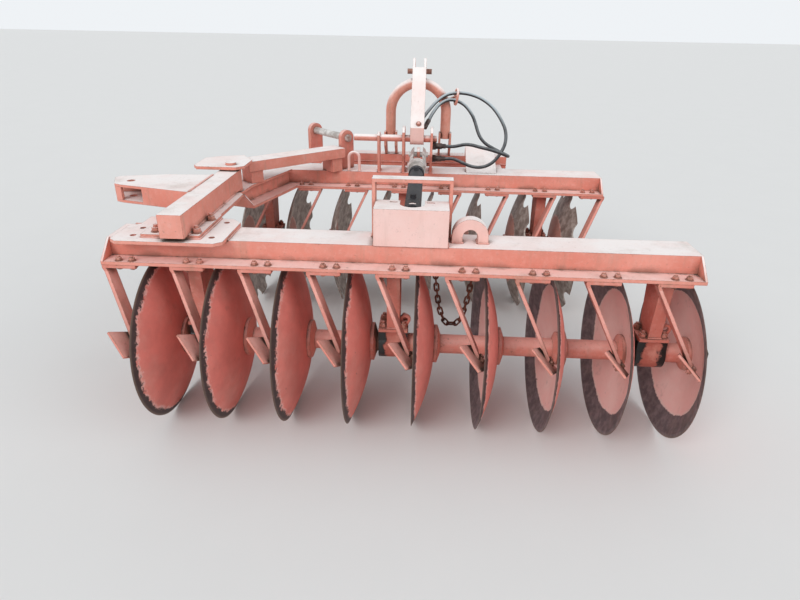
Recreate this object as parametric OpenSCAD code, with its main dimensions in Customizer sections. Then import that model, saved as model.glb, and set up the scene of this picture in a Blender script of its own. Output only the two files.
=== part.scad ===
// Mounted offset disc harrow: a front gang of notched discs and a rear gang of plain
// discs, each under its own beam. The rear frame swings about an upright pin at the left
// and a hydraulic cylinder opens the two gangs to a V. Y points ahead, the floor is z = 0.

/* [Discs] */
// Diameter of a disc
disc_d = 610; // [540:10:640]
// Thickness of a disc
disc_t = 6; // [4:1:8]
// Depth of a disc's dish, rim to crown
disc_dish = 75; // [55:5:85]
// Flat seat at the middle of a disc
disc_flat_d = 130; // [124:2:136]
// Discs on the rear gang
rear_disc_count = 9; // [9:1:9]
// Distance from disc to disc along a gang
disc_pitch = 230; // [225:5:240]
// Notches round a front disc
notch_count = 10; // [8:1:12]
// Radius of a notch
notch_r = 45; // [30:1:50]
// Depth of a notch from the rim
notch_depth = 40; // [25:1:45]

/* [Gang shafts] */
// Side of the square gang shaft
shaft_side = 32; // [28:1:34]
// Diameter of a spool's barrel
spool_d = 70; // [66:1:76]
// Diameter of a spool's flange on the outside of a disc
spool_flange_d = 140; // [130:2:150]
// Diameter of a spool's flange inside a disc
spool_small_flange_d = 120; // [110:2:126]
// Thickness of a spool's flange
spool_flange_t = 12; // [8:1:14]
// Length of the taper behind a flange
spool_taper = 12; // [8:1:14]
// Length of an end collar
collar_len = 34; // [28:1:40]
// Width across the flats of a shaft nut
nut_af = 60; // [50:1:70]
// Height of a shaft nut
nut_h = 28; // [20:1:32]

/* [Bearings and hangers] */
// Outer diameter of a bearing housing
housing_d = 110; // [100:1:120]
// Length of a bearing housing along the shaft
housing_len = 104; // [90:1:106]
// Height of a housing's flat seat above the shaft
housing_seat = 67; // [62:1:72]
// Width of a hanger column along the beam
hanger_w = 46; // [40:1:60]
// Depth of a hanger column at its top
hanger_top_depth = 130; // [110:2:160]
// Depth of a hanger column at its foot
hanger_foot_depth = 92; // [80:2:104]
// Wall of a hanger column
hanger_wall = 8; // [6:1:12]
// Thickness of a hanger's head and foot plates
hanger_plate_t = 12; // [8:1:16]

/* [Beams] */
// Height of a beam's underside above the floor
beam_under = 625; // [623:1:640]
// Height of a beam from underside to top
beam_h = 75; // [65:1:85]
// Width of a beam's top
beam_top_w = 145; // [135:1:155]
// Width over a beam's two flanges
beam_flange_w = 280; // [272:2:300]
// Thickness of a beam's flanges
beam_flange_t = 12; // [8:1:14]
// Wall of a beam's top and legs
beam_wall = 8; // [6:1:12]
// Beam centre ahead of its gang shaft
beam_offset = 18; // [10:1:24]
// Length of the rear beam
rear_beam_len = 1995; // [1980:5:2040]
// Length of the front beam
front_beam_len = 1710; // [1700:5:1740]
// Distance from the rear gang shaft to the front one
gang_spacing = 1057; // [1040:1:1080]

/* [Scrapers] */
// Width of a scraper arm
scraper_w = 50; // [40:1:56]
// Thickness of a scraper arm
scraper_t = 12; // [8:1:14]
// Length of a scraper's foot under the flange
scraper_foot = 114; // [100:1:120]
// Height of an arm's lower end
scraper_low = 388; // [380:1:396]
// How far an arm's lower end lies behind its foot
scraper_sweep = 107; // [95:1:112]
// Thickness of a scraper blade
blade_t = 8; // [5:1:10]
// Lean of a scraper blade from upright
blade_lean = 43.6; // [41:0.2:46]

/* [Side tube and hinge] */
// Side of the square side tube
tube_side = 80; // [74:2:84]
// Wall of the side tube
tube_wall = 8; // [6:1:10]
// Thickness of the foot and wing plates
plate_t = 12; // [10:1:14]
// Diameter of the hinge pin
hinge_pin_d = 30; // [24:1:36]
// Diameter of the hinge knuckle
knuckle_d = 78; // [70:1:80]
// Gap between the knuckle and each ear
knuckle_gap = 1; // [0.5:0.5:2]
// Diameter of the hole in the side fork
fork_hole_d = 30; // [26:1:34]
// Thickness of the side fork's plates
fork_plate_t = 10; // [8:1:12]

/* [Cylinder] */
// Outer diameter of the cylinder's barrel
barrel_d = 58; // [54:1:60]
// Bore of the barrel
barrel_bore = 45; // [42:1:48]
// Diameter of the rod
rod_d = 32; // [28:1:34]
// Diameter of the gland
gland_d = 66; // [62:1:68]
// Height of the cylinder's axis above the beams' tops
cylinder_rise = 100; // [96:1:104]
// Diameter of the rod's yoke
yoke_d = 76; // [70:1:78]
// Width of the slot in the yoke
yoke_slot = 42; // [41:1:44]
// Diameter of the cylinder's pins
cylinder_pin_d = 25; // [20:1:28]

/* [Hitch] */
// Distance between the shoulders of the lower hitch pins
lower_span = 840; // [800:5:860]
// Diameter of the lower hitch pins
lower_pin_d = 28; // [22:1:30]
// Length of a lower hitch pin
lower_pin_len = 85; // [70:1:100]
// Height of the lower hitch pins
lower_pin_z = 555; // [540:1:570]
// Height of the top link pin
top_pin_z = 1155; // [1130:1:1170]
// Diameter of the top link pin
top_pin_d = 25; // [19:1:28]
// Tube diameter of the hoop
hoop_tube_d = 50; // [42:1:54]
// Width of the hoop from tube centre to tube centre
hoop_w = 278; // [260:2:300]
// Width of the mast strap
strap_w = 66; // [56:1:70]
// Thickness of the mast strap
strap_t = 12; // [10:1:14]

/* [Hoses and chain] */
// Diameter of a hose
hose_d = 16; // [14:1:18]
// Diameter of a hose's end fitting
fitting_d = 28; // [24:1:30]
// Wire of the hanging chain
chain_wire = 7; // [6:0.5:8]
// Inner length of a chain link
chain_pitch = 25; // [24:1:30]

/* [Hidden] */

$fn = 48;
seat_gap = 0.3;     // between curved faces of one body that meet
run_gap = 0.05;     // radial play of a shaft in its bore
weld_gap = 0.2;     // between a piece and the hole it is welded in
cut = 1;            // how far a cutter runs past a face

// Disc, worked as two spheres about one centre
disc_r = disc_d / 2;
dish_r = (disc_r * disc_r + disc_dish * disc_dish) / (2 * disc_dish);
flat_drop = dish_r - sqrt(dish_r * dish_r - disc_flat_d * disc_flat_d / 4);
hub_out = disc_dish - flat_drop;      // outer seat, from the rim plane
hub_in = hub_out - disc_t;            // inner seat, from the rim plane

// Gangs: rim plane of the first disc, number of discs, spools that carry a bearing
REAR = [-920, rear_disc_count, [0, 3, rear_disc_count - 2]];
FRONT = [-753, rear_disc_count - 1, [0, 3, rear_disc_count - 3]];
FIRST = 0; COUNT = 1; BEARINGS = 2;
hanger_shift = -30;                   // a hanger from the middle of its spool
function rim(gang, i) = gang[FIRST] + i * disc_pitch;
function spool_mid(gang, i) = rim(gang, i) + hub_out + (disc_pitch - disc_t) / 2;
function hanger_x(gang, i) = spool_mid(gang, i) + hanger_shift;

shaft_z = disc_r;
shaft_left = 70;                      // shaft and nut beyond the first collar
thread_d = 30;
thread_len = nut_h + 8;

// Heights of the frame
beam_top = beam_under + beam_h;
wing_z = beam_top;
foot_z = wing_z + plate_t;
tube_z = foot_z + plate_t;
tube_top = tube_z + tube_side;
ear_top_z = tube_top + 6;             // underside of the upper hinge ear
ear_top = ear_top_z + plate_t;

// Rear beam's ends and the side tube's line
rear_beam_x = -1055;
tube_x = -800;
tube_back = -120;
hinge_y = 540;
front_beam_y = gang_spacing + beam_offset;
front_beam_x = -830;
near_leg = beam_offset - beam_top_w / 2;
arm_far = [-741, 1000];
arm_near = [-860, 609];
arm_angle = atan2(arm_far.y - arm_near.y, arm_far.x - arm_near.x);

// Side fork's outline, from the tube's near side round its tip
fork_hole = [-1118, 300];
FORK = [[tube_x - tube_side / 2, 158], [-1130, 235], [-1160, 250], [-1203, 345],
        [-1190, 368], [-1030, 416], [tube_x - tube_side / 2, 430]];
fork_z = tube_top - 69;

// Cylinder and the box that holds its back pin
cylinder_x = -20;
cylinder_z = beam_top + cylinder_rise;
back_pin_y = 20;
front_pin_y = 960;
barrel_end = 540;
gland_len = 35;
yoke_back = 640;
slot_back = 700;
piston_y = 130;
box_left = -146;
box_right = 103;
box_back = -60;
box_front = 52;
box_top = cylinder_z + 28;
box_t = 8;
portal_back = 30;
portal_w = 50;
portal_t = 12;
portal_top = beam_top + 205;

// Hitch
mast_x = -30;
hitch_left = -600;
hitch_right = 440;
hitch_y = 1250;
hitch_w = 80;
hitch_h = 60;
hitch_z = beam_top - 20;
hitch_top = hitch_z + hitch_h;
hoop_y = 1200;
lower_pin_y = 1360;
lower_boss_r = 35;
bracket_t = 16;
shaft_y = 1010;
shaft_cross_z = beam_top + 166;
shaft_cross_d = 32;
clevis_t = 12;
clevis_left = -100;
clevis_right = 35;
bracket_x = -221;
tab_t = 14;
shaft_left_end = -335;

// The part's own frame: its box stands centred over the origin
right_end = rim(REAR, rear_disc_count - 1) + hub_out + collar_len + thread_len;
left_end = FORK[3].x;
ahead = lower_pin_y + lower_boss_r;
centre = [(left_end + right_end) / 2, (ahead - disc_r) / 2];

module placed() translate([-centre.x, -centre.y, 0]) children();
module front() placed() translate([0, gang_spacing, 0]) mirror([1, 0, 0]) children();
module along_x(x, z = 0) translate([x, 0, z]) rotate([90, 0, 90]) children();
module bar(low, high) translate(low) cube(high - low);

// Section of a disc: height above the rim plane at a radius, outside and inside
arc_steps = 10;
function outside(r) = disc_dish - dish_r + sqrt(dish_r * dish_r - r * r);
function inside(r) = disc_dish - dish_r + sqrt(pow(dish_r - disc_t, 2) - r * r);
inner_rim_r = sqrt(pow(dish_r - disc_t, 2) - pow(dish_r - disc_dish, 2));
flat_r = disc_flat_d / 2;
disc_section = concat(
    [[0, hub_in], [0, hub_out]],
    [for (k = [0 : arc_steps]) let (r = flat_r + (disc_r - flat_r) * k / arc_steps)
        [r, outside(r)]],
    [for (k = [arc_steps : -1 : 1]) let (r = flat_r + (inner_rim_r - flat_r) * k / arc_steps)
        [r, inside(r)]],
    [[flat_r, hub_in]]);

// One dished disc with its rim plane at x = 0, hollow towards -X
module disc(notched) {
    side = shaft_side + 2 * weld_gap;
    difference() {
        rotate([0, 90, 0]) rotate_extrude($fn = 96) polygon(disc_section);
        translate([hub_in - cut, -side / 2, -side / 2]) cube([disc_t + 2 * cut, side, side]);
        if (notched)
            for (k = [0 : notch_count - 1])
                rotate([(k + 0.5) * 360 / notch_count, 0, 0])
                    translate([-cut, 0, disc_r - notch_depth + notch_r])
                        rotate([0, 90, 0]) cylinder(r = notch_r, h = disc_dish);
    }
}

module gang_discs(gang, notched)
    for (i = [0 : gang[COUNT] - 1]) translate([rim(gang, i), 0, shaft_z]) disc(notched);

// One spool: two flanges that taper to a round barrel, on the square shaft
module spool() {
    len = disc_pitch - disc_t;
    side = shaft_side + 2 * weld_gap;
    difference() {
        rotate([0, 90, 0]) rotate_extrude()
            polygon([[0, 0], [spool_flange_d / 2, 0], [spool_flange_d / 2, spool_flange_t],
                     [spool_d / 2, spool_flange_t + spool_taper],
                     [spool_d / 2, len - spool_flange_t - spool_taper],
                     [spool_small_flange_d / 2, len - spool_flange_t],
                     [spool_small_flange_d / 2, len], [0, len]]);
        translate([-cut, -side / 2, -side / 2]) cube([len + 2 * cut, side, side]);
    }
}

module collar(flange_d) {
    side = shaft_side + 2 * weld_gap;
    difference() {
        rotate([0, 90, 0]) rotate_extrude()
            polygon([[0, 0], [flange_d / 2, 0], [flange_d / 2, spool_flange_t],
                     [spool_d / 2, spool_flange_t + spool_taper],
                     [spool_d / 2, collar_len], [0, collar_len]]);
        translate([-cut, -side / 2, -side / 2])
            cube([collar_len + 2 * cut, side, side]);
    }
}

module gang_spools(gang) {
    for (i = [0 : gang[COUNT] - 2])
        translate([rim(gang, i) + hub_out, 0, shaft_z]) spool();
    translate([rim(gang, 0) + hub_in, 0, shaft_z]) mirror([1, 0, 0])
        collar(spool_small_flange_d);
    translate([rim(gang, gang[COUNT] - 1) + hub_out, 0, shaft_z]) collar(spool_flange_d);
}

module gang_shaft(gang) {
    x0 = rim(gang, 0) + hub_in - collar_len;
    x1 = rim(gang, gang[COUNT] - 1) + hub_out + collar_len;
    nut_d = nut_af / cos(30);
    translate([x0, -shaft_side / 2, shaft_z - shaft_side / 2])
        cube([x1 - x0, shaft_side, shaft_side]);
    translate([x1, 0, shaft_z]) rotate([0, 90, 0]) {
        cylinder(d = thread_d, h = thread_len);
        cylinder(d = nut_d, h = nut_h, $fn = 6);
    }
    translate([x0, 0, shaft_z]) rotate([0, -90, 0]) {
        cylinder(d = thread_d, h = thread_len);
        cylinder(d = nut_d, h = nut_h, $fn = 6);
    }
}

// Hat section of the beams, in y and z about the beam's middle
module hat_section() {
    t = beam_top_w / 2;
    f = beam_flange_w / 2;
    polygon([[-f, 0], [-f, beam_flange_t], [-t, beam_flange_t], [-t, beam_h], [t, beam_h],
             [t, beam_flange_t], [f, beam_flange_t], [f, 0], [t - beam_wall, 0],
             [t - beam_wall, beam_h - beam_wall], [-t + beam_wall, beam_h - beam_wall],
             [-t + beam_wall, 0]]);
}

module end_section() {
    t = beam_top_w / 2;
    f = beam_flange_w / 2;
    polygon([[-f, 0], [-f, beam_flange_t], [-t, beam_h], [t, beam_h],
             [f, beam_flange_t], [f, 0]]);
}

module beam(x, len) {
    along_x(x, beam_under) translate([beam_offset, 0, 0]) {
        linear_extrude(len) hat_section();
        linear_extrude(beam_wall) end_section();
        translate([0, 0, len - beam_wall]) linear_extrude(beam_wall) end_section();
    }
}

// One hanger column with its head and foot plates
module hanger(x) {
    head_z = beam_under - hanger_plate_t;
    foot = shaft_z + housing_seat + hanger_plate_t;
    a = hanger_top_depth / 2;
    b = hanger_foot_depth / 2;
    w = hanger_wall;
    bar([x - hanger_w / 2 - 8, near_leg - 10, head_z],
        [x + hanger_w / 2 + 8, near_leg + beam_top_w + 10, beam_under]);
    along_x(x - hanger_w / 2) difference() {
        linear_extrude(hanger_w) polygon([[-b, foot], [b, foot], [a, head_z], [-a, head_z]]);
        translate([0, 0, w]) linear_extrude(hanger_w - 2 * w)
            polygon([[-b + w, foot - cut], [b - w, foot - cut],
                     [a - w, head_z + cut], [-a + w, head_z + cut]]);
    }
    bar([x - housing_len / 2, -b - 8, foot - hanger_plate_t], [x + housing_len / 2, b + 8, foot]);
}

module gang_hangers(gang) for (i = gang[BEARINGS]) hanger(hanger_x(gang, i));

// One plain bearing housing: a round body under a flat seat
module bearing(x) {
    difference() {
        union() {
            translate([x - housing_len / 2, 0, shaft_z]) rotate([0, 90, 0])
                cylinder(d = housing_d, h = housing_len);
            bar([x - housing_len / 2, -hanger_foot_depth / 2, shaft_z],
                [x + housing_len / 2, hanger_foot_depth / 2, shaft_z + housing_seat]);
        }
        translate([x - housing_len / 2 - cut, 0, shaft_z]) rotate([0, 90, 0])
            cylinder(d = spool_d + 2 * run_gap, h = housing_len + 2 * cut);
    }
}

module gang_bearings(gang) for (i = gang[BEARINGS]) bearing(hanger_x(gang, i));

// Scraper, about its disc's rim plane: a flat bar bent down and back from the near flange
// to a blade that leans into the dish. Blade points: place along Y, distance down the lean.
scraper_left = -134;
scraper_front = near_leg - 17;
scraper_tip = -24.6;
arm_step = scraper_t + 1;
BLADE = [[-256, 0], [-302, 92], [-205, 155], [-170, 60]];
blade_dir = [sin(blade_lean), -cos(blade_lean)];
blade_top = [scraper_tip, scraper_low] - 77.4 * blade_dir;
module scraper_arm(x) {
    foot_z = beam_under - scraper_t;
    left = x + scraper_left;
    tip = [x + scraper_tip, scraper_low];
    front = scraper_front;
    back = front - scraper_w;
    intersection() {
        translate([0, front, 0]) rotate([90, 0, 0])
            linear_extrude(scraper_w + scraper_sweep + 20)
                polygon([[left, beam_under], [left + scraper_foot, beam_under],
                         [left + scraper_foot, foot_z], [left + arm_step, foot_z],
                         tip + [arm_step, 0], tip + 15 * blade_dir, tip, [left, foot_z]]);
        along_x(left - 1) linear_extrude(scraper_foot + 60)
            polygon([[back, beam_under + cut], [front, beam_under + cut], [front, foot_z - 12],
                     [front - scraper_sweep, scraper_low - 13],
                     [front - scraper_sweep, scraper_low - 30],
                     [back - scraper_sweep, scraper_low - 30],
                     [back - scraper_sweep, scraper_low - 13], [back, foot_z - 12]]);
    }
}

module scraper_blade(x)
    translate([x + blade_top.x, 0, blade_top.y]) rotate([0, 90 - blade_lean, 0])
        translate([0, 0, -blade_t]) linear_extrude(blade_t)
            polygon([for (p = BLADE) [p[1], p[0]]]);

module gang_scraper_arms(gang)
    for (i = [0 : gang[COUNT] - 1]) scraper_arm(rim(gang, i));
module gang_scraper_blades(gang)
    for (i = [0 : gang[COUNT] - 1]) scraper_blade(rim(gang, i));

module rear_discs() color("indianred") placed() gang_discs(REAR, false);
module rear_spools() color("salmon") placed() gang_spools(REAR);
module rear_shaft() color("dimgray") placed() gang_shaft(REAR);
module rear_beam() color("coral") placed() beam(rear_beam_x, rear_beam_len);
module rear_hangers() color("salmon") placed() gang_hangers(REAR);
module rear_bearings() color("dimgray") placed() gang_bearings(REAR);
module rear_scraper_arms() color("coral") placed() gang_scraper_arms(REAR);
module rear_scraper_blades() color("lightsalmon") placed() gang_scraper_blades(REAR);
module front_discs() color("sienna") front() gang_discs(FRONT, true);
module front_spools() color("salmon") front() gang_spools(FRONT);
module front_shaft() color("dimgray") front() gang_shaft(FRONT);
module front_beam() color("coral") front()
    beam(-front_beam_x - front_beam_len, front_beam_len);
module front_hangers() color("salmon") front() gang_hangers(FRONT);
module front_bearings() color("dimgray") front() gang_bearings(FRONT);
module front_scraper_arms() color("coral") front() gang_scraper_arms(FRONT);
module front_scraper_blades() color("lightsalmon") front() gang_scraper_blades(FRONT);

// Side arm: the same section, in layers, from the hinge's end plate to the front beam
function arm_end(v, y) = (y - arm_near.y - v * cos(arm_angle)) / sin(arm_angle);
module arm_strip(v0, v1, y)
    polygon([[0, v0], [arm_end(v0, y), v0], [arm_end(v1, y), v1], [0, v1]]);
module side_arm() color("coral") placed() difference() {
    far_flange_y = front_beam_y - beam_flange_w / 2;
    translate([arm_near.x, arm_near.y, beam_under]) rotate([0, 0, arm_angle]) {
        far_leg_y = front_beam_y - beam_top_w / 2;
        t = beam_top_w / 2;
        f = beam_flange_w / 2;
        linear_extrude(beam_flange_t) {
            arm_strip(-f, beam_wall - t, far_flange_y);
            arm_strip(t - beam_wall, f, far_flange_y);
        }
        translate([0, 0, beam_flange_t]) linear_extrude(beam_h - beam_flange_t - beam_wall) {
            arm_strip(-t, beam_wall - t, far_leg_y);
            arm_strip(t - beam_wall, t, far_leg_y);
        }
        translate([0, 0, beam_h - beam_wall]) linear_extrude(beam_wall)
            arm_strip(-t, t, far_leg_y);
        rotate([90, 0, 90]) linear_extrude(beam_wall) end_section();
    }
    bar([front_beam_x - seat_gap, far_flange_y - cut, beam_under - cut],
        [front_beam_x + beam_wall + seat_gap, front_beam_y, beam_top + cut]);
}

// Wing plate on the rear beam's left end, with its cut corners and spare holes
module wing_plate() color("coral") placed() translate([0, 0, wing_z]) difference() {
    linear_extrude(plate_t)
        polygon([[-1020, -100], [-995, -122], [-665, -122], [-640, -100], [-640, 105],
                 [-680, 145], [-985, 145], [-985, 60], [-1020, 35]]);
    for (p = [[-958, -62], [-689, -62], [-958, 15], [-689, 100]])
        translate([p.x, p.y, -cut]) cylinder(d = 20, h = plate_t + 2 * cut);
}

// Foot plate under the side tube, with its strip and the stiffener below
module foot_plate() color("salmon") placed() {
    translate([0, 0, foot_z]) linear_extrude(plate_t)
        polygon([[-922, -83], [-723, -83], [-723, 145], [-728, 160], [-728, 440], [-745, 462],
                 [tube_x - tube_side / 2, 462], [tube_x - tube_side / 2, 145], [-922, 145]]);
    translate([tube_x + plate_t / 2, 0, 0]) rotate([0, -90, 0]) linear_extrude(plate_t)
        polygon([[foot_z, beam_offset + beam_flange_w / 2 + 2], [foot_z, 455],
                 [foot_z - 20, 455], [beam_under + 4, beam_offset + beam_flange_w / 2 + 60],
                 [beam_under + 4, beam_offset + beam_flange_w / 2 + 2]]);
}

// Square side tube with the round knuckle of the hinge at its front end
module side_tube() color("coral") placed() {
    h = tube_side / 2;
    wall = tube_wall;
    knuckle_low = foot_z + knuckle_gap;
    knuckle_high = ear_top_z - knuckle_gap;
    difference() {
        union() {
            bar([tube_x - h, tube_back, tube_z], [tube_x + h, hinge_y, tube_top]);
            translate([tube_x, hinge_y, knuckle_low])
                cylinder(d = knuckle_d, h = knuckle_high - knuckle_low);
        }
        bar([tube_x - h + wall, tube_back + wall, tube_z + wall],
            [tube_x + h - wall, hinge_y - knuckle_d / 2 - wall, tube_top - wall]);
        translate([tube_x, hinge_y, knuckle_low - cut])
            cylinder(d = hinge_pin_d + 2 * run_gap, h = knuckle_high - knuckle_low + 2 * cut);
    }
}

// Side fork: two plates with walls between them, open at the tip
module side_fork() color("coral") placed() difference() {
    translate([0, 0, fork_z]) linear_extrude(tube_top - fork_z) polygon(FORK);
    translate([0, 0, fork_z + fork_plate_t])
        linear_extrude(tube_top - fork_z - 2 * fork_plate_t)
            polygon([[-900, 186], [-1085, 233], [-1170, 225], [-1240, 350], [-1196, 360],
                     [-1180, 353], [-1040, 396], [-900, 410]]);
    translate([fork_hole.x, fork_hole.y, fork_z - cut])
        cylinder(d = fork_hole_d, h = tube_top - fork_z + 2 * cut);
}

// Ears of the front frame above and below the knuckle
module hinge_ears() color("salmon") placed() {
    hole = hinge_pin_d + 2 * weld_gap;
    difference() {
        union() {
            translate([tube_x, hinge_y, beam_top]) cylinder(r = 46, h = plate_t);
            translate([0, 0, beam_top]) linear_extrude(plate_t)
                polygon([[tube_x - 46, hinge_y], [tube_x + 46, hinge_y], [-745, 640],
                         [-640, 960], [-700, 985], [-790, 985], [-905, 640]]);
        }
        translate([tube_x, hinge_y, beam_top - cut]) cylinder(d = hole, h = plate_t + 2 * cut);
    }
    difference() {
        translate([0, 0, ear_top_z]) linear_extrude(plate_t)
            polygon([[-950, 520], [-930, 490], [-765, 490], [-738, 520], [-738, 640],
                     [-800, 735], [-900, 700], [-950, 660]]);
        translate([tube_x, hinge_y, ear_top_z - cut]) cylinder(d = hole, h = plate_t + 2 * cut);
    }
}

module hinge_pin() color("dimgray") placed() translate([tube_x, hinge_y, 0]) {
    translate([0, 0, beam_top - 10]) cylinder(d = hinge_pin_d, h = ear_top - beam_top + 20);
    translate([0, 0, ear_top]) cylinder(d = hinge_pin_d + 14, h = 10);
    translate([0, 0, beam_top - 10]) cylinder(d = hinge_pin_d + 8, h = 10 - seat_gap);
}

// Diagonal channel from the upper ear to the lug on the front beam
channel_start = [-790, 682];
channel_end = [-415, 1050];
channel_w = 100;
channel_h = 45;
channel_angle = atan2(channel_end.y - channel_start.y, channel_end.x - channel_start.x);
channel_low = ear_top_z - channel_h;
module diagonal_channel() color("coral") placed() {
    len = norm(channel_end - channel_start);
    translate([channel_start.x, channel_start.y, channel_low]) rotate([0, 0, channel_angle]) {
        difference() {
            bar([0, -channel_w / 2, 0], [len, channel_w / 2, channel_h]);
            bar([-cut, -channel_w / 2 + 8, -cut], [len + cut, channel_w / 2 - 8, channel_h - 8]);
        }
        bar([10, -channel_w / 2 + 8 + seat_gap, foot_z - channel_low],
            [70, channel_w / 2 - 8 - seat_gap, channel_h - 8]);
        bar([len - 75, -channel_w / 2 + 8 + seat_gap, beam_top - channel_low],
            [len - 15, channel_w / 2 - 8 - seat_gap, channel_h - 8]);
    }
}

// Two lugs that hold the bare slide pin across the channel's line
lug_near = [-385, 1080];
lug_far = [-575, 1275];
lug_t = 25;
lug_w = 74;
slide_z = beam_top + 150;
slide_d = 35;
lug_angle = atan2(lug_far.y - lug_near.y, lug_far.x - lug_near.x);
module slide_lug(at, z) translate([at.x, at.y, 0]) rotate([0, 0, lug_angle])
    rotate([90, 0, 90]) translate([0, 0, -lug_t / 2]) difference() {
        union() {
            translate([0, slide_z, 0]) cylinder(d = lug_w, h = lug_t);
            translate([-lug_w / 2, z, 0]) cube([lug_w, slide_z - z, lug_t]);
        }
        translate([0, slide_z, -cut]) cylinder(d = slide_d + 2 * weld_gap, h = lug_t + 2 * cut);
    }
module slide_lugs() color("firebrick") placed() {
    slide_lug(lug_near, beam_top);
    slide_lug(lug_far, hitch_top);
}
module slide_pin() color("silver") placed()
    translate([lug_near.x, lug_near.y, slide_z]) rotate([0, 0, lug_angle])
        rotate([0, 90, 0]) translate([0, 0, -lug_t])
            cylinder(d = slide_d, h = norm(lug_far - lug_near) + 2 * lug_t);

// Box over the cylinder's back end, with the boss and pin that the barrel turns on
module cylinder_box() color("lightsalmon") placed() {
    notch = barrel_d / 2 + 13;
    difference() {
        bar([box_left, box_back, beam_top], [box_right, box_front, box_top]);
        bar([box_left + box_t, box_back + box_t, beam_top - cut],
            [box_right - box_t, box_front + cut, box_top - box_t]);
        translate([cylinder_x, 12, box_top - box_t - cut]) cylinder(r = notch, h = 2 * box_t);
        bar([cylinder_x - notch, 12, box_top - box_t - cut],
            [cylinder_x + notch, box_front + cut, box_top + cut]);
        for (x = [-84, 42])
            bar([x - 13, 24, box_top - box_t - cut], [x + 13, 33, box_top + cut]);
    }
    translate([cylinder_x, back_pin_y, beam_top]) {
        cylinder(d = cylinder_pin_d + 30, h = cylinder_z - barrel_d / 2 - 1 - beam_top);
        cylinder(d = cylinder_pin_d, h = cylinder_z + barrel_d / 2 - 3 - beam_top);
    }
}

module portal_strap() color("coral") placed()
    translate([0, portal_back + portal_w, 0]) rotate([90, 0, 0]) linear_extrude(portal_w)
        difference() {
            translate([box_left - portal_t, beam_top])
                square([box_right - box_left + 2 * portal_t, portal_top - beam_top]);
            translate([box_left, beam_top - cut])
                square([box_right - box_left, portal_top - beam_top - portal_t + cut]);
        }

module lifting_arch() color("coral") placed()
    translate([179, 40, beam_top]) rotate([90, 0, 0]) linear_extrude(44) difference() {
        union() {
            translate([0, 22]) circle(62);
            translate([-62, 0]) square([124, 22]);
        }
        translate([0, 22]) circle(26);
        translate([-26, -cut]) square([52, 22 + cut]);
        translate([-70, -100]) square([140, 100]);
    }

// Hydraulic cylinder: barrel, gland and ports, then rod, piston and yoke
module barrel() color("black") placed() {
    difference() {
        union() {
            translate([cylinder_x, back_pin_y - barrel_d / 2, cylinder_z]) rotate([-90, 0, 0])
                cylinder(d = barrel_d, h = barrel_end - back_pin_y + barrel_d / 2);
            translate([cylinder_x, barrel_end, cylinder_z]) rotate([-90, 0, 0])
                cylinder(d = gland_d, h = gland_len);
            for (y = [90, barrel_end - 30])
                translate([cylinder_x, y, cylinder_z]) cylinder(d = 22, h = barrel_d / 2 + 12);
        }
        translate([cylinder_x, 60, cylinder_z]) rotate([-90, 0, 0])
            cylinder(d = barrel_bore, h = barrel_end - 60);
        translate([cylinder_x, 60, cylinder_z]) rotate([-90, 0, 0])
            cylinder(d = rod_d + 2 * run_gap, h = barrel_end);
        translate([cylinder_x, back_pin_y, cylinder_z - barrel_d])
            cylinder(d = cylinder_pin_d + 2 * run_gap, h = 2 * barrel_d);
    }
}

module rod() color("silver") placed() {
    translate([cylinder_x, piston_y, cylinder_z]) rotate([-90, 0, 0]) {
        cylinder(d = barrel_bore - 2 * run_gap, h = 30);
        cylinder(d = rod_d, h = yoke_back - piston_y + 1);
    }
    difference() {
        translate([cylinder_x, yoke_back, cylinder_z]) rotate([-90, 0, 0])
            cylinder(d = yoke_d, h = front_pin_y + 26 - yoke_back);
        bar([cylinder_x - yoke_slot / 2, slot_back, cylinder_z - yoke_d],
            [cylinder_x + yoke_slot / 2, front_pin_y + yoke_d, cylinder_z + yoke_d]);
    }
    translate([cylinder_x - yoke_d / 2 - 8, front_pin_y, cylinder_z]) rotate([0, 90, 0])
        cylinder(d = cylinder_pin_d, h = yoke_d + 16);
}

// Plates on the front beam that carry the cross shaft, and the tab for the rod's pin
module clevis_plates() color("salmon") placed() difference() {
    union() {
        for (x = [clevis_left, clevis_right])
            translate([x, 0, beam_top]) rotate([90, 0, 90]) linear_extrude(clevis_t)
                polygon([[985, 60], [1005, 0], [1120, 0], [1090, 100], [1060, 200],
                         [1040, 220], [985, 220], [965, 200], [965, 90]]);
        translate([bracket_x, 0, beam_top]) rotate([90, 0, 90]) linear_extrude(clevis_t)
            polygon([[1005, 0], [1070, 0], [1038, 180], [1025, 193],
                     [995, 193], [985, 180], [985, 140]]);
    }
    translate([bracket_x - cut, shaft_y, shaft_cross_z]) rotate([0, 90, 0])
        cylinder(d = shaft_cross_d + 2 * weld_gap, h = clevis_right - bracket_x + 40);
}

module cylinder_tab() color("salmon") placed() difference() {
    translate([cylinder_x - tab_t / 2, 0, beam_top]) rotate([90, 0, 90]) linear_extrude(tab_t)
        polygon([[932, 70], [932, 118], [942, 129], [990, 129], [1090, 0], [1005, 0]]);
    translate([cylinder_x - 20, front_pin_y, cylinder_z]) rotate([0, 90, 0])
        cylinder(d = cylinder_pin_d + 14, h = 40);
}

module cross_shaft() color("salmon") placed() {
    translate([shaft_left_end, shaft_y, shaft_cross_z]) rotate([0, 90, 0])
        cylinder(d = shaft_cross_d, h = clevis_right + clevis_t + 20 - shaft_left_end);
}

// Hitch beam ahead of the front beam, its arms and the lower hitch pins
module hitch_beam() color("coral") placed() difference() {
    bar([hitch_left, hitch_y, hitch_z], [hitch_right, hitch_y + hitch_w, hitch_top]);
    bar([hitch_left + 8, hitch_y + 8, hitch_z + 8],
        [hitch_right - 8, hitch_y + hitch_w - 8, hitch_top - 8]);
}

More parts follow.
